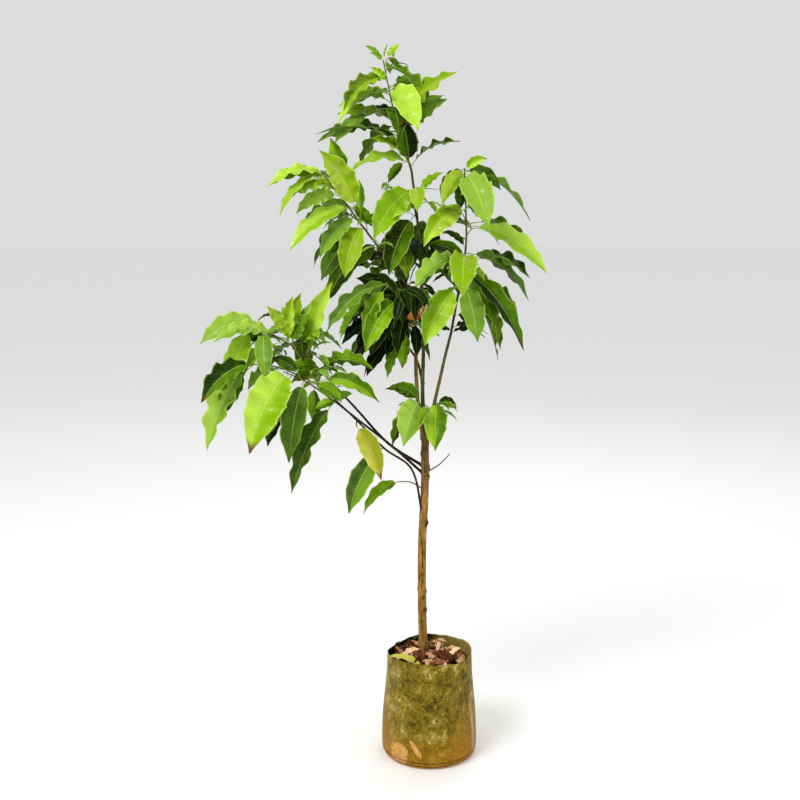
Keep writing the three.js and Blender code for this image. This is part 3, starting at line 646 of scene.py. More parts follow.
def bark_material(name, stops, dark, lichen, aged=0):
    """Bark with colours that run up and down the stem, dark cracks and knots, pale crusts of lichen by a
    share, and a tint where the mesh asks for it. Aged bark darkens toward the fork."""
    material, shader, paint = new_material(name, 0.14)
    grain = paint.noise(120, 5, 0.65, (1, 1, 0.16), warp=0.5)
    patch = paint.noise(34, 4, 0.6)
    fine = paint.noise(600, 3, 0.6, (1, 1, 0.5))
    colour = (grain * 0.55 + patch * 0.3 + fine * 0.15).ramp(stops)
    colour = colour.coat(BARK_TINT, paint.value("tint") * (0.3 + grain * 0.9))
    streak = paint.noise(60, 4, 0.6, (1, 1, 0.07), warp=0.3)
    crack = grain.fall(0.36, 0.46) * 0.5 + streak.fall(0.36, 0.44) * 0.7
    colour = colour.coat(dark, crack.most(0.85))
    if aged:
        colour = colour.coat(BARK_AGED, (paint.axes()[2] + patch * 0.12).rise(0.74, 0.94) * aged)
    colour = colour.coat(dark, paint.value("knot") * 0.8)
    crust = paint.noise(70, 4, 0.7, warp=1).rise(0.58, 0.66) * lichen
    colour = colour.coat(BARK_LICHEN, crust)
    finish_material(shader, colour, 0.6 + grain * 0.3, grain + fine * 0.3 + crust * 0.3, 0.0014)
    return material


share, middles, walk = walk_along(TRUNK_PATH, TRUNK_RINGS)
flare = np.maximum(0, 1 - walk / FLARE_HEIGHT) ** 2
radii = between(TRUNK_RADIUS, share) + TRUNK_FLARE * flare
radii *= 1 - TRUNK_NECK["less"] * smooth_step(share, TRUNK_NECK["from"], TRUNK_NECK["to"])
radii[-4:] *= TRUNK_TOP
turn = np.linspace(0, 360, TRUNK_SIDES, endpoint=False)
chance = np.random.default_rng(KNOT_SEED)
spots = [[chance.uniform(*limits) for limits in (KNOT_PLACE, (0, 360), KNOT_OUT, KNOT_WIDTH)]
         for _ in range(TRUNK_KNOTS)] + COLLARS
knots, relief = 0, 0
for place, bearing, out, width in spots:
    # Each ring's first place is near -X, and these bearings run round from it
    off = ((turn[None] - bearing + 180) % 360 - 180) * np.pi / 180 * TRUNK_ARC
    near = np.exp(-(off ** 2 + (walk[:, None] - place) ** 2) / width ** 2)
    relief, knots = relief + out * near, knots + near
for place in np.cumsum(chance.uniform(*PAUSE_STEP, PAUSES)):
    relief = relief + PAUSE_OUT * np.exp(-((walk[:, None] - place) / PAUSE_WIDTH) ** 2)
height, count = TRUNK_RIDGES
ridges = height * np.sin(np.radians(turn[None] * count + 60 * np.sin(walk[:, None] / 38)))
height, count = FLARE_RIDGES
ridges = ridges + (height * flare[:, None]) * np.sin(np.radians(turn[None] * count + 30))
held = {"knot": (np.clip(knots, 0, 1), 0, 0), "tint": (0, 0, 0)}
stem = tube(middles, radii, TRUNK_SIDES, held, relief + ridges)
make_piece("trunk_stem", [stem], bark_material("tan_bark", **TAN_BARK), ["trunk"], sharp=80)

# The boughs
# The limbs above the fork are young wood with smooth olive bark. The low boughs on the left, a dry twig on
# the right and a stub above the fork are thin dark wood. Each swells at its foot, bends slightly, and has
# thin dark rings at its nodes.

YOUNG_LIMBS = {
    "leader": ([(-14, 0, 862), (-20, 0, 960), (-20, 0, 1140), (-30, 0, 1365), (-50, 0, 1535)], (5.5, 3)),
    "left_prong": ([(-16, 0, 856), (-35, 4, 960), (-38, 4, 1125), (-60, -10, 1250)], (6, 3.5)),
    "right_branch": ([(-10, 0, 858), (12, -10, 960), (30, -15, 1050), (50, -20, 1130)], (5, 3.5)),
    "back_bough": ([(-20, 0, 1000), (-38, 45, 1060), (-80, 90, 1110)], (3.5, 2.5)),
}
DARK_LIMBS = {
    "left_bough_upper": ([(-14, 0, 782), (-100, 12, 835), (-240, 30, 980)], (4, 2.6)),
    "left_bough_lower": ([(-15, 0, 762), (-85, -22, 830), (-235, -60, 960)], (3.6, 2.4)),
    "left_bough_thin": ([(-18, 0, 640), (-50, -26, 785), (-120, -36, 842), (-215, -10, 932), (-285, 5, 995)],
                        (3, 2.2)),
    "right_dry_twig": ([(-10, 0, 768), (22, -6, 790), (50, -10, 820)], (1.8, 1.1)),
}
STUBS = {"stub": ([(-27, 0, 884), (-31, -1, 892), (-36, -4, 912)], (2.6, 1.2))}
LIMB_RINGS = 120
LIMB_SIDES = 16
LIMB_COLLAR = 0.7
LIMB_TINT = {"left_prong": 0.8, "right_branch": 0.25}
LIMB_SEED = 40
NODE_STEP = (26, 52)
NODE_OUT = 0.45
NODE_WIDTH = 2.2
BENDS = 2
BEND_SHARE = 0.45
BEND_LENGTH = 33
YOUNG_BARK = {
    "stops": [(0.34, (36, 38, 12)), (0.46, (62, 66, 20)), (0.56, (92, 94, 32)), (0.7, (136, 130, 60))],
    "dark": (24, 20, 8), "lichen": 0.3}
DARK_BARK = {
    "stops": [(0.3, (14, 10, 4)), (0.46, (30, 22, 9)), (0.62, (52, 40, 18)), (0.78, (92, 74, 40))],
    "dark": (12, 9, 6), "lichen": 0.3}


def limb(path, radius, seed, rings, sides, collar, tint=0.0):
    """One tapering limb. Its foot swells by the collar's share over three radii, its nodes stand out as
    thin rings, and slow sine waves bend it slightly."""
    chance = np.random.default_rng(seed)
    share, middles, walk = walk_along(path, rings)
    radii = between(radius, share)
    ease = np.sin(np.pi * share)[:, None]
    for _ in range(BENDS):
        arrow, phase = chance.uniform(-1, 1, 3), chance.uniform(0, 6.3)
        wave = np.sin(walk[:, None] / BEND_LENGTH + phase)
        middles = middles + ease * arrow * radius[1] * BEND_SHARE * wave
    nodes = np.cumsum(chance.uniform(*NODE_STEP, int(walk[-1] / NODE_STEP[0]) + 1))
    rings_out = np.exp(-((walk[:, None] - nodes) / NODE_WIDTH) ** 2).sum(axis=1)
    radii = radii * (1 + collar * np.exp(-(walk / (3 * radius[0])) ** 2)) + NODE_OUT * rings_out * (radii / 4)
    knot = 0.5 * rings_out + 0.6 * np.exp(-(walk / (2.5 * radius[0])) ** 2)
    held = {"knot": (np.clip(knot, 0, 1)[:, None], 0, 0), "tint": (tint, tint, tint)}
    return tube(middles, radii, sides, held)


for name, limbs, extra, bark, slot in (("young_limbs", YOUNG_LIMBS, {}, YOUNG_BARK, "young_bark"),
                                       ("dark_limbs", DARK_LIMBS, STUBS, DARK_BARK, "dark_bark")):
    parts = [limb(path, radius, LIMB_SEED + k, LIMB_RINGS, LIMB_SIDES, LIMB_COLLAR, LIMB_TINT.get(each, 0.0))
             for k, (each, (path, radius)) in enumerate({**limbs, **extra}.items())]
    make_piece(name, parts, bark_material(name, **bark), list(limbs), sharp=80)

# The twigs
# Each mass of leaves grows on its own shoots, which carry on from the limbs. Its large leaves come from the
# same rows and seeded rule as in the solids, which turn some leaves aside or skip them to stay clear of
# limbs and other masses. Most rows are listed one by one, and the rule fills the sides and the back. Side
# twigs and more leaves are finer growth.

# The middle and half-axes of the egg that a mass's seeded growth keeps to, then its shoots: path, radii,
# how many seeded leaves, and the listed leaves, each by its place on the shoot, bearing, rise, petiole,
# length, width, turn and tone
# A leaf's tone is partly its own green and partly painted light and shade: low tones paint the shade inside
# the crown, high ones partly the sunlight on its outer leaves
FOLIAGE = {
    "foliage_top": ((-110, 0, 1665), (235, 200, 205), [
        ([(-50, 0, 1535), (-95, 0, 1685), (-120, 0, 1800)], (3, 1.2), 6, [
            (0.05, 205, 30, 12, 110, 40, 40, 0.85), (0.07, 260, 45, 15, 125, 55, 75, 0.2),
            (0.42, 145, 30, 12, 85, 30, 70, 0.25), (0.78, 305, -40, 35, 145, 65, 75, 0.9),
            (0.75, 55, -5, 35, 110, 40, 50, 0.62), (0.4, 340, 40, 20, 180, 65, 45, 0.7),
            (0.33, 20, 40, 20, 130, 45, 50, 0.42), (0.62, 195, -5, 20, 115, 40, 35, 0.62),
            (0.17, 195, 10, 25, 205, 60, 25, 0.3), (0.72, 215, -30, 15, 150, 50, 35, 0.95),
            (0.78, 200, 40, 15, 45, 20, 75, 0.85), (0.96, 200, 40, 25, 40, 15, 70, 0.8),
            (0.97, 220, 25, 12, 35, 15, 75, 0.82), (0.98, 310, 68, 14, 32, 12, 45, 0.75),
            (0.96, 335, 45, 25, 38, 15, 75, 0.8), (0.07, 195, -10, 15, 140, 50, 35, 0.8),
            (0.1, 155, -45, 20, 60, 25, 75, 0.45), (0.03, 340, 25, 25, 120, 45, 25, 0.35)])]),
    "foliage_centre": ((-75, -60, 1395), (115, 150, 165), [
        ([(-32, 0, 1395), (-42, -20, 1450), (-38, -30, 1495)], (2.6, 1.6), 0, [
            (1, 215, -45, 25, 150, 70, 75, 0.66), (0.35, 215, -60, 25, 145, 65, 75, 0.25),
            (0.5, 235, -15, 15, 85, 35, 75, 0.82), (1, 275, -35, 12, 90, 40, 75, 0.8),
            (1, 135, -55, 12, 75, 35, 75, 0.25)])]),
    "foliage_right": ((110, -20, 1320), (215, 215, 310), [
        ([(50, -20, 1131), (65, -25, 1220), (85, -30, 1345), (85, -35, 1425), (80, -40, 1540)],
         (3.5, 1.6), 0, [
            (0.5, 265, -35, 20, 150, 70, 75, 0.7), (0.5, 20, -35, 30, 185, 65, 35, 0.25),
            (0.4, 335, -50, 40, 215, 70, 30, 0.25), (0.36, 295, -60, 45, 135, 60, 75, 0.55),
            (0.34, 35, -60, 55, 190, 55, 30, 0.3), (0.32, 220, -55, 35, 150, 70, 75, 0.68),
            (0.48, 200, -30, 25, 135, 50, 45, 0.82), (0.04, 20, -12, 12, 90, 30, 30, 0.2),
            (0.12, 25, -30, 12, 75, 30, 75, 0.25), (0.44, 160, 25, 12, 95, 35, 75, 0.22),
            (1, 230, -45, 12, 105, 40, 75, 0.72), (1, 100, -60, 12, 100, 35, 65, 0.22),
            (0.98, 330, 25, 12, 55, 25, 75, 0.8), (1, 20, -25, 12, 95, 35, 75, 0.3),
            (0.98, 290, -45, 25, 165, 75, 75, 0.85), (1, 20, -35, 35, 185, 50, 25, 0.5),
            (0.66, 340, -30, 35, 195, 60, 40, 0.85), (0.67, 15, -20, 40, 150, 50, 35, 0.25),
            (0.82, 305, -45, 12, 50, 20, 70, 0.25), (0.52, 160, 40, 15, 60, 20, 45, 0.2),
            (0.76, 210, -35, 12, 140, 55, 75, 0.95)]),
        ([(65, -25, 1220), (95, 40, 1290), (115, 95, 1320)], (2.4, 1.4), 7, [])]),
    "foliage_upper_left": ((-260, -30, 1410), (185, 215, 265), [
        ([(-60, -10, 1250), (-100, -20, 1310), (-140, -25, 1360), (-210, -45, 1455), (-270, -60, 1535)],
         (3.4, 1.5), 0, [
            (0.95, 195, -10, 15, 135, 40, 30, 0.9), (1, 205, -45, 25, 130, 35, 30, 0.86),
            (0.76, 155, 20, 12, 105, 35, 30, 0.85), (0.85, 195, -15, 30, 105, 40, 50, 0.82),
            (0.78, 195, -20, 15, 105, 40, 65, 0.82), (0.63, 165, 15, 20, 70, 25, 50, 0.82),
            (0.68, 200, -35, 12, 170, 55, 40, 0.85), (0.64, 155, -50, 30, 150, 50, 40, 0.25),
            (0.6, 205, -45, 12, 125, 45, 60, 0.55), (0.54, 225, -65, 12, 130, 60, 75, 0.68),
            (0.62, 145, -60, 40, 150, 50, 40, 0.22), (0.6, 212, 60, 40, 150, 65, 75, 0.85),
            (0.55, 100, 75, 40, 70, 25, 65, 0.8), (0.34, 145, -35, 12, 80, 35, 75, 0.25),
            (0.68, 25, -35, 12, 65, 30, 75, 0.4)]),
        ([(-140, -25, 1360), (-185, 50, 1410), (-215, 100, 1430)], (2.4, 1.4), 7, [])]),
    "foliage_middle": ((-130, -5, 1245), (190, 195, 205), [
        ([(-44, 2, 1160), (-75, -25, 1215), (-110, -30, 1260)], (2.4, 1.6), 0, [
            (1, 205, -35, 40, 160, 50, 35, 0.35), (0.95, 215, -60, 25, 125, 45, 40, 0.62),
            (0.6, 225, -45, 20, 155, 60, 65, 0.5)]),
        ([(-75, -25, 1215), (-80, 25, 1290), (-75, 55, 1365)], (2, 1.3), 8, [])]),
    "foliage_back": ((-110, 105, 1175), (165, 175, 205), [
        ([(-80, 90, 1110), (-125, 100, 1170), (-150, 105, 1240)], (2.5, 1.4), 9, []),
        ([(-80, 90, 1110), (-55, 110, 1170), (-50, 130, 1240)], (2.2, 1.4), 9, [])]),
    "foliage_back_top": ((-40, 120, 1390), (175, 180, 190), [
        ([(-27, 0, 1290), (-30, 60, 1340), (-35, 100, 1400)], (2.4, 1.4), 11, [])]),
    "foliage_low_left_upper": ((-360, 20, 1120), (255, 200, 205), [
        ([(-240, 30, 980), (-330, 20, 1075), (-450, 0, 1155)], (2.5, 1.4), 3, [
            (0.42, 320, 62, 20, 200, 55, 60, 0.88), (0.8, 205, -5, 12, 145, 50, 40, 0.86),
            (0.95, 195, -15, 12, 145, 55, 55, 0.88), (0.62, 215, 60, 30, 90, 35, 75, 0.85),
            (0.65, 300, 70, 20, 110, 40, 70, 0.82), (1, 208, -65, 35, 150, 60, 75, 0.72),
            (0.68, 200, -40, 30, 145, 45, 35, 0.8), (0.8, 150, -30, 30, 150, 50, 45, 0.2),
            (0.25, 335, 5, 12, 150, 50, 40, 0.4), (0.53, 35, 25, 12, 70, 25, 60, 0.25)]),
        ([(-330, 20, 1075), (-350, 80, 1110), (-365, 125, 1120)], (2, 1.3), 7, [])]),
    "foliage_low_left_front": ((-350, -130, 905), (265, 175, 205), [
        ([(-235, -60, 960), (-315, -80, 1020), (-365, -95, 1045)], (2.3, 1.4), 0, [
            (0.9, 240, -45, 15, 225, 95, 75, 0.88), (0.85, 145, -60, 35, 165, 60, 75, 0.22),
            (0.65, 245, -70, 20, 190, 65, 75, 0.3), (0.05, 215, -62, 30, 225, 60, 30, 0.25),
            (0.45, 100, -70, 12, 105, 35, 75, 0.4), (0.45, 325, -20, 12, 80, 35, 75, 0.45),
            (0.7, 149, 25, 25, 75, 35, 75, 0.25), (0.5, 333, -8, 55, 145, 50, 40, 0.5)])]),
    "foliage_low_left_far": ((-430, -40, 930), (215, 160, 195), [
        ([(-285, 5, 995), (-390, -20, 1045), (-465, -45, 1058)], (2.1, 1.3), 5, [
            (1, 215, -62, 30, 210, 70, 50, 0.9), (0.9, 210, -55, 45, 115, 50, 75, 0.45),
            (0.75, 135, -68, 60, 155, 55, 40, 0.3)])]),
    "foliage_fork_left": ((-75, -40, 915), (80, 135, 150), [
        ([(-16, 0, 900), (-24, -22, 935), (-28, -30, 960)], (1.8, 1.4), 0, [
            (1, 255, -32, 15, 150, 70, 75, 0.9), (0.9, 160, -55, 20, 120, 45, 45, 0.25),
            (1, 200, 22, 15, 85, 30, 45, 0.2)])]),
    "foliage_fork_right": ((25, -60, 900), (80, 120, 125), [
        ([(-4, 0, 880), (14, -28, 930), (16, -34, 958)], (1.8, 1.4), 0, [
            (1, 265, -50, 12, 125, 60, 75, 0.58), (0.9, 52, -12, 12, 75, 28, 60, 0.35)])]),
    "leaf_yellowing": ((-165, -80, 850), (90, 90, 110), [
        ([(-187, -46, 914), (-188, -60, 908), (-186, -68, 902)], (1.7, 1.5), 0, [
            (1, 315, -55, 12, 140, 52, 75, 0.8)])]),
    "leaf_hanging": ((-165, -80, 775), (90, 100, 110), [
        ([(-120, -36, 842), (-128, -48, 836), (-134, -56, 828)], (1.7, 1.5), 0, [
            (1, 215, -60, 12, 155, 58, 75, 0.38)])]),
    "leaf_lowest": ((-110, -60, 715), (125, 120, 95), [
        ([(-16, 0, 722), (-50, -26, 748), (-80, -48, 755)], (1.8, 1.3), 0, [
            (1, 210, -35, 12, 115, 38, 35, 0.55)])]),
}
# More large leaves: the number of the shoot, then as above. Their near-black tones paint the shade deep in
# the crown
FINER_LEAVES = {
    "foliage_top": [
        (0, 0.4, 190, 10, 35, 118, 42, 35, 0.5), (0, 0.29, 187, -2, 60, 150, 44, 40, 0.35),
        (0, 0.57, 195, -30, 58, 115, 36, 50, 0.7), (0, 0.3, 349, 38, 40, 105, 52, 60, 0.6)],
    "foliage_centre": [
        (0, 0.3, 171, -8, 55, 80, 36, 30, 0.2), (0, 0.65, 0, 45, 40, 62, 28, 50, 0.6),
        (0, 0.4, 159, 50, 10, 50, 24, 60, 0.3)],
    "foliage_right": [
        (0, 0.01, 5, -10, 8, 80, 26, 30, 0.2), (0, 0.02, 180, -6, 5, 42, 18, 40, 0.15),
        (0, 1, 190, -54, 10, 90, 44, 60, 0.35), (0, 0.42, 30, -62, 95, 150, 42, 60, 0.35)],
    "foliage_upper_left": [
        (0, 0.77, 200, 79, 25, 120, 50, 65, 0.55), (0, 0.93, 189, -8, 12, 138, 38, 50, 0.85),
        (0, 0.51, 168, -51, 52, 120, 52, 75, 0.3), (0, 0.37, 169, -49, 55, 150, 52, 75, 0.25)],
    "foliage_middle": [
        (0, 0.1, 195, -58, 12, 110, 45, 30, 0), (0, 0.3, 235, -70, 15, 100, 44, 40, 0.1),
        (1, 0.7, 175, -17, 20, 122, 48, 30, 0.05), (0, 0.95, 173, -32, 12, 88, 38, 60, 0.3),
        (0, 1, 175, -50, 68, 120, 34, 50, 0.45), (0, 0, 201, -75, 45, 78, 34, 60, 0.6),
        (0, 0, 304, -81, 12, 78, 30, 60, 0.05), (0, 0, 190, -65, 70, 88, 38, 40, 0.45),
        (0, 0.4, 192, -56, 20, 135, 50, 40, 0.1), (0, 0.4, 169, 30, 40, 105, 50, 75, 0.15)],
    "foliage_back": [
        (0, 0.05, 190, -50, 15, 130, 52, 20, -0.05), (0, 0.35, 200, -55, 15, 125, 52, 20, 0.02),
        (0, 0.6, 215, -60, 12, 120, 50, 20, 0.08), (0, 0.2, 165, -35, 20, 135, 50, 10, 0),
        (0, 0.2, 206, -36, 15, 135, 52, 30, 0), (0, 0.45, 199, -32, 15, 120, 48, 30, 0.05),
        (0, 0.55, 195, -26, 12, 118, 46, 30, 0.15), (0, 0.05, 212, -47, 15, 125, 50, 30, 0)],
    "foliage_low_left_upper": [
        (0, 0.59, 10, 80, 28, 112, 42, 72, 0.5), (0, 0.56, 0, 68, 25, 110, 32, 60, 0.72),
        (0, 0.27, 200, -3, 8, 78, 36, 60, 0.4), (0, 0.17, 193, -7, 8, 84, 36, 60, 0.5),
        (0, 0.58, 205, 74, 25, 82, 50, 75, 0.75), (0, 0.6, 330, 55, 20, 84, 46, 60, 0.45)],
    "foliage_low_left_front": [
        (0, 0.01, 192, -20, 6, 52, 24, 60, 0.55), (0, 0.03, 346, 30, 6, 46, 22, 60, 0.55)],
    "foliage_low_left_far": [
        (0, 0.3, 182, -64, 45, 160, 60, 60, 0.1)],
    "foliage_fork_left": [
        (0, 1, 205, 27, 15, 80, 38, 75, 0.3)],
}
SEEDED = {"length": (105, 165), "share": (0.32, 0.44), "petiole": (12, 26), "rise": (-62, 8), "crowding": 0.6,
          "stray": 40, "turn": 50}
GOLDEN_ANGLE = 137.5
FOLIAGE_SEED = 100
LAST_FOOT = 0.985
# Painted shade: the seeded leaves of these masses deep in the crown take the darker tones below
SHADED = ("foliage_back", "foliage_back_top")
SEEDED_TONE = (0.2, 0.62)
SHADED_TONE = (0.0, 0.26)
SPRAY_TONE = (-0.08, 0.08)
SHOOT_RINGS = 60
SHOOT_SIDES = 10
SHOOT_SEED = 60
FEWEST_TWIGS = 4
SIDE_TWIGS = {"foliage_back": 10, "foliage_middle": 6, "foliage_back_top": 7, "foliage_low_left_upper": 5}
SIDE_SIZE = {"foliage_back": 1.6, "foliage_middle": 1.3, "foliage_back_top": 1.4}
SIDE_CLIMB = ((-45, 25), (-75, -15))  # in the open and in the shade
SIDE_PLACE = (0.1, 0.96)
SIDE_RISE = (-15, 55)
SIDE_LENGTH = (30, 72)
KNEE_RISE = 20
SIDE_LEAVES = ((0.45, 34, 60), (0.75, 40, 76), (0.98, 34, 70))  # place on the twig, shortest and longest
SMALL_STRAY = (-80, 80)
SMALL_PETIOLE = (4, 9)
SMALL_SHARE = (0.3, 0.4)
SMALL_TURN = 40
SMALL_TONE = (-0.06, 0.1)
SIDE_RINGS = 14
SIDE_SIDES = 6
SIDE_FOOT = 0.8  # of the shoot's own radius at its end
SIDE_TIP = 0.6
SIDE_COLLAR = 0.3
SIDE_SEED = 80
# Painted light added to the tone of side leaves out in the open
PAINTED_OPEN_LIGHT = 0.12
TWIG_BARK = {
    "stops": [(0.3, (44, 46, 14)), (0.46, (74, 74, 24)), (0.62, (108, 104, 42)), (0.78, (140, 130, 70))],
    "dark": (26, 22, 10), "lichen": 0.1}


def seeded_numbers(seed):
    """An endless row of numbers from 0 to 1: each state is the last one times 1664525 plus 1013904223, kept
    to 32 bits."""
    state = seed
    while True:
        state = (state * 1664525 + 1013904223) % 4294967296
        yield state / 4294967296


def within(space, foot, bearing, rise, whole):
    """Whether a leaf's middle and tip stay in the mass's own space, an egg of three half-axes."""
    heart, reach = space
    way = heading(bearing, rise)
    marks = (np.array(foot) + way * whole, np.array(foot) + way * whole / 2)
    return all(np.linalg.norm((mark - heart) / reach) <= 1 for mark in marks)


def seeded_row(index, count, numbers):
    """A large leaf by the seeded rule: set round the shoot by the golden angle and crowded toward its
    end."""
    length = between(SEEDED["length"], next(numbers))
    bearing = (index * GOLDEN_ANGLE + SEEDED["stray"] * next(numbers)) % 360
    rise = between(SEEDED["rise"], next(numbers))
    petiole = between(SEEDED["petiole"], next(numbers))
    width = length * between(SEEDED["share"], next(numbers))
    return (((index + 0.5) / count) ** SEEDED["crowding"], bearing, rise, petiole, length, width,
            -SEEDED["turn"] * np.sin(np.radians(bearing)))


def grow(name, number, space, shoots):
    """The large leaves, small leaves, twigs and finer leaves of one mass."""
    numbers = seeded_numbers(FOLIAGE_SEED + number)
    chance = np.random.default_rng(FOLIAGE_SEED + number)
    tones = SHADED_TONE if name in SHADED else SEEDED_TONE
    crowded = name in SIDE_SIZE
    large, small, twigs = [], [], []
    for path, radius, count, by_hand in shoots:
        seeded = [seeded_row(index, count, numbers) for index in range(count)]
        # The solids draw one more number for each leaf, so as many are passed over to stay in step
        for _ in range(len(by_hand) + count):
            next(numbers)
        spray = chance.uniform(*SPRAY_TONE)
        rows = by_hand + [(*row, chance.uniform(*tones) + spray) for row in seeded]
        feet = smooth_path(path, [min(row[0], LAST_FOOT) for row in rows])
        for at, (row, foot) in enumerate(zip(rows, feet)):
            if at < len(by_hand) or within(space, foot, row[1], row[2], row[3] + row[4]):
                large.append((foot, *row[1:]))
        twigs.append(limb(path, radius, SHOOT_SEED + number, SHOOT_RINGS, SHOOT_SIDES, 0.0))
        if name.startswith("leaf_"):
            continue
        for at in np.sort(chance.uniform(*SIDE_PLACE, SIDE_TWIGS.get(name, FEWEST_TWIGS))):
            foot = smooth_path(path, [at])[0]
            bearing, rise, reach = (chance.uniform(*limits) for limits in ((0, 360), SIDE_RISE, SIDE_LENGTH))
            if not within(space, foot, bearing, rise, reach):
                continue
            knee = foot + heading(bearing, rise + KNEE_RISE) * reach * 0.5
            side = [foot, knee, foot + heading(bearing, rise) * reach]
            size = (radius[1] * SIDE_FOOT, SIDE_TIP)
            twigs.append(limb(side, size, SIDE_SEED + len(twigs), SIDE_RINGS, SIDE_SIDES, SIDE_COLLAR))
            # Side leaves in crowded masses take the dark tones, painted shade; elsewhere painted light of the
            # open lifts them
            tone = chance.uniform(*(SHADED_TONE if crowded else tones)) + PAINTED_OPEN_LIGHT * (not crowded)
            for place, short, long in SIDE_LEAVES:
                base = smooth_path(side, [place])[0]
                way, climb = bearing + chance.uniform(*SMALL_STRAY), chance.uniform(*SIDE_CLIMB[crowded])
                length = chance.uniform(short, long) * SIDE_SIZE.get(name, 1)
                if within(space, base, way, climb, length):
                    petiole, width = chance.uniform(*SMALL_PETIOLE), length * chance.uniform(*SMALL_SHARE)
                    turn, shade = -SMALL_TURN * np.sin(np.radians(way)), tone + chance.uniform(*SMALL_TONE)
                    small.append((base, way, climb, petiole, length, width, turn, shade))
    finer = [(smooth_path(shoots[shoot][0], [at])[0], *row) for shoot, at, *row in FINER_LEAVES.get(name, [])]
    return large, small, twigs, finer


growth = {}
for number, (name, (*space, shoots)) in enumerate(FOLIAGE.items()):
    growth[name] = grow(name, number, space, shoots)
twigs = [part for _, _, parts, _ in growth.values() for part in parts]
make_piece("twigs", twigs, bark_material("twig_bark", **TWIG_BARK), sharp=80)

# The leaves
# Broad, glossy, strongly waved blades on green petioles, each with one half painted lighter than the other
# as light falls on its fold, a lime midrib and now and then a brown tip. Their tones also paint light and
# shade in the crown. Two small dead leaves hang in the crown, and one that has just fallen, still
# yellow-green, lies across the bag's rim at the front left.

# Tones run from near-black, painted shade for leaves deep in the crown, to pale lime, partly painted sunlight
# on the lit leaves
FRESH_LEAF = {
    "stops": [(0.0, (1, 7, 1)), (0.2, (24, 50, 0)), (0.42, (86, 130, 2)), (0.7, (132, 176, 10)),
              (1.0, (180, 218, 68))],
    "ribs": (200, 222, 104), "beneath": (104, 138, 34), "brown": 0.16, "sheen_grey": (112, 150, 62)}
OLD_LEAF = {
    "stops": [(0.0, (92, 104, 2)), (0.35, (122, 136, 2)), (0.8, (146, 156, 4)), (1.0, (226, 222, 92))],
    "ribs": (208, 210, 110), "beneath": (150, 156, 50), "brown": 1.0, "sheen_grey": (150, 152, 40)}
DEAD_LEAF = {
    "stops": [(0.0, (140, 70, 34)), (0.4, (204, 112, 62)), (0.7, (232, 146, 94)), (1.0, (244, 186, 134))],
    "ribs": (220, 170, 110), "beneath": (170, 120, 70), "brown": 1.0, "sheen_grey": (190, 110, 56)}
LEAF_OLIVE = (138, 144, 10)
LEAF_TIP = (104, 66, 26)
LEAF_FLECKS = (120, 96, 36)
STALK_GREENS = [(0.0, (78, 100, 26)), (0.5, (128, 152, 44)), (1.0, (178, 192, 76))]
VEINS = 15
BLADE_SEEDS = {"large": 200, "small": 240, "finer": 280}
SMALL_BLADES = {"rows": 16, "columns": 5, "waves": (0.06, 0.16)}
PETIOLE_SIDES = 7
PETIOLE_RINGS = 6
PETIOLE_RADIUS = (1.5, 0.95)
FULL_LENGTH = 110
DRY_LEAF = [((-20, -66, 1176), 190, -4, 3, 38, 26, 60, 0.45),
            ((-14, -60, 1208), 240, -70, 3, 44, 20, 60, 0.95)]
DRY_BLADES = {"seed": 7, "rows": 24, "waves": (0.3, 0.4), "fold": (0.6, 0.8), "twist": 70}
FALLEN_LEAF = [((-16, -84, 259), 163, 13, 8, 98, 22, 16, 1.15)]
FALLEN_BLADES = {"seed": 9, "rows": 24, "waves": (0.04, 0.08), "fold": (0.2, 0.3), "twist": 10}


def petioles(leaves):
    """Tapering stalks from each leaf's foot to a little way under its blade, along the leaf's own curve."""
    neck = leaves["petiole"] / (leaves["petiole"] + leaves["length"]) + 0.03
    share = np.linspace(0, 1, PETIOLE_RINGS)
    middle, face, side = midribs(leaves, neck[:, None] * share)
    size = np.minimum(1, leaves["length"] / FULL_LENGTH)[:, None, None, None]
    radius = size * between(PETIOLE_RADIUS, smooth_step(share, 0, 0.5))[None, :, None, None]
    turn = np.linspace(0, 2 * np.pi, PETIOLE_SIDES, endpoint=False)[None, None, :, None]
    rings = middle[:, :, None] + radius * (face[:, :, None] * np.cos(turn) - side[:, :, None] * np.sin(turn))
    tone = all_over(leaves["tone"][:, None, None])
    return skins(rings[:, :, ::-1], middle[:, 0], middle[:, -1], {"tone": tone})


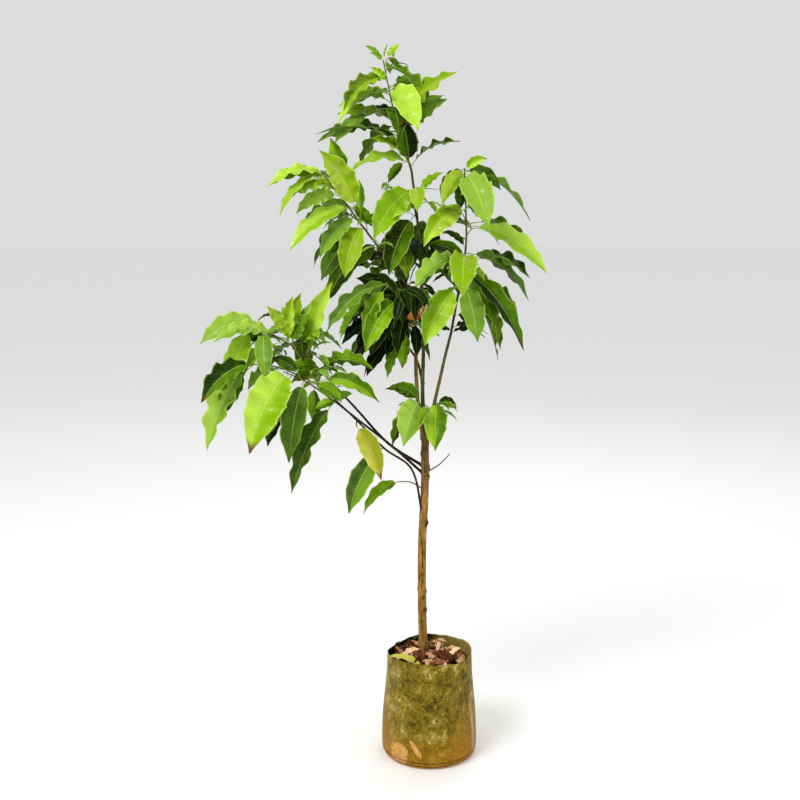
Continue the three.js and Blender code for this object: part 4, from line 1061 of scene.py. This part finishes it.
def leaf_material(name, stops, ribs, beneath, brown, sheen_grey):
    """A glossy blade: its tone picks the green, with a pale midrib, faint side veins that slant forward, a
    thin pale margin that is partly painted light shining through the edge, a paler underside and brown tips
    on a share of the leaves. One half of each blade is painted lighter than the other, and some leaves get a
    painted greyish sheen."""
    material, shader, paint = new_material(name, 0.06)
    shader.inputs["Coat Roughness"].default_value = 0.24
    along, tone, luck, young = (paint.value(key) for key in ("along", "tone", "luck", "young"))
    off = abs(paint.value("across"))
    mottle = paint.noise(38, 4, 0.6)
    fine = paint.noise(300, 3, 0.6)
    # Painted light: one half of the blade lighter, the other darker, more so on pale leaves
    lit = paint.value("lean") * (0.08 + tone * 0.24)
    colour = (tone + mottle * 0.34 - 0.17 + fine * 0.06 - 0.03 + lit).ramp(stops)
    (mottle.rise(0.5, 0.62) * tone.rise(0.3, 0.8) * 0.5).join(shader, "Coat Weight")
    # Painted sheen: a greyish tint on some leaves, standing in for the pale reflection of the sky on glossy
    # blades
    grey_sheen = luck.fall(0.22, 0.34) * tone.rise(0.1, 0.5)
    colour = colour.coat(sheen_grey, grey_sheen * (0.25 + mottle * 0.5))
    olive = luck.rise(0.5, 0.58) * luck.fall(0.7, 0.78) * mottle.rise(0.35, 0.6)
    colour = colour.coat(LEAF_OLIVE, olive * tone.rise(0.1, 0.6) * 0.5)
    slant = (along * VEINS - off * 1.9) * 6.2832
    veins = slant.math("SINE", slant).rise(0.8, 1.0) * (1 - off * 0.7) * (1 - young)
    shown = tone.rise(-0.1, 0.45) * 0.75 + 0.25
    colour = colour.coat(ribs, veins * shown * 0.12)
    # Thin pale margin: partly the paler underside at the edge and partly painted light shining through it
    colour = colour.coat(ribs, off.rise(0.84, 1.0) * (0.2 + tone * 0.6))
    rib = off.fall(0.02, 0.065)
    colour = colour.coat(ribs, rib * shown * (0.62 - along * 0.3) * (1 - young * 0.6))
    colour = colour.coat(beneath, paint.value("under") * 0.5)
    old = luck.rise(1 - brown, 1.05 - brown)
    colour = colour.coat(LEAF_TIP, (along + mottle * 0.1 + off * 0.04).rise(0.93, 1.02) * old * 0.9)
    flecks = fine.rise(0.7, 0.75) * mottle.rise(0.52, 0.62) * old * (1 - young)
    colour = colour.coat(LEAF_FLECKS, flecks * 0.6)
    finish_material(shader, colour, 0.34 + mottle * 0.2, rib * 0.5 + veins * 0.5 + fine * 0.12, 0.001)
    return material


fresh_leaf = leaf_material("fresh_leaf", **FRESH_LEAF)
old_leaf = leaf_material("old_leaf", **OLD_LEAF)
dead_leaf = leaf_material("dry_leaf", **DEAD_LEAF)
stalks = []
for number, (name, (large, small, _, finer)) in enumerate(growth.items()):
    parts = []
    for kind, rows, shape in ("large", large, {}), ("small", small, SMALL_BLADES), ("finer", finer, {}):
        if rows:
            leaves = leaf_list(rows)
            parts.append(leaf_blades(leaves, BLADE_SEEDS[kind] + number, **shape))
            stalks.append(petioles(leaves))
    if name == "leaf_yellowing":
        look, slot = old_leaf, "yellow_leaf"
    else:
        look, slot = fresh_leaf, "shaded_leaf" if name in SHADED else "leaf"
    make_piece(name + "_blades", parts, look, [name], sharp=75)

stalk_green, shader, paint = new_material("stalk_green", 0.15)
# The stalks follow their leaf's tone, and so its painted light and shade
colour = (paint.value("tone") * 0.8 + paint.noise(60, 3) * 0.3).ramp(STALK_GREENS)
finish_material(shader, colour, 0.45 + paint.noise(90, 2) * 0.1, paint.noise(500, 2), 0.0004)
make_piece("petioles", stalks, stalk_green, sharp=80)
for name, rows, shape, look in (("dry_leaf", DRY_LEAF, DRY_BLADES, dead_leaf),
                                ("fallen_leaf", FALLEN_LEAF, FALLEN_BLADES, old_leaf)):
    make_piece(name, [leaf_blades(leaf_list(rows), **shape)], look, sharp=75)

# The floor and the light
# A plain pale studio floor under a soft white sky, with one large lamp from the upper left, one opposite,
# and one behind.

FLOOR_HALF = 40
FLOOR_PALE = (253, 253, 252)
FLOOR_ROUGHNESS = 0.9
LAMPS = [("key", (-2.2, -2.4, 4.2), 1.8, 120), ("fill", (3.2, -2.2, 2.0), 3.0, 26),
         ("back", (0.8, 2.8, 3.6), 2.4, 30)]  # place, size and power
LAMP_AIM = (0, 0, 1.1)
SKY = 0.72

floor_mesh = bpy.data.meshes.new("floor")
corners = [(x * FLOOR_HALF, y * FLOOR_HALF, 0) for x, y in ((-1, -1), (1, -1), (1, 1), (-1, 1))]
floor_mesh.from_pydata(corners, [], [(0, 1, 2, 3)])
floor = add_object("floor", floor_mesh)
pale, shader, _ = new_material("pale_floor")
shader.inputs["Base Color"].default_value = srgb(FLOOR_PALE)
shader.inputs["Roughness"].default_value = FLOOR_ROUGHNESS
floor_mesh.materials.append(pale)

for name, place, size, power in LAMPS:
    lamp = bpy.data.lights.new(name, "AREA")
    lamp.size, lamp.energy = size, power
    holder = add_object(name, lamp)
    holder.location = place
    holder.rotation_euler = (Vector(LAMP_AIM) - Vector(place)).to_track_quat("-Z", "Y").to_euler()

world = bpy.data.worlds.new("sky")
world.use_nodes = True
world.node_tree.nodes["Background"].inputs["Color"].default_value = (1, 1, 1, 1)
world.node_tree.nodes["Background"].inputs["Strength"].default_value = SKY
bpy.context.scene.world = world
bpy.context.scene.view_settings.view_transform = "Standard"
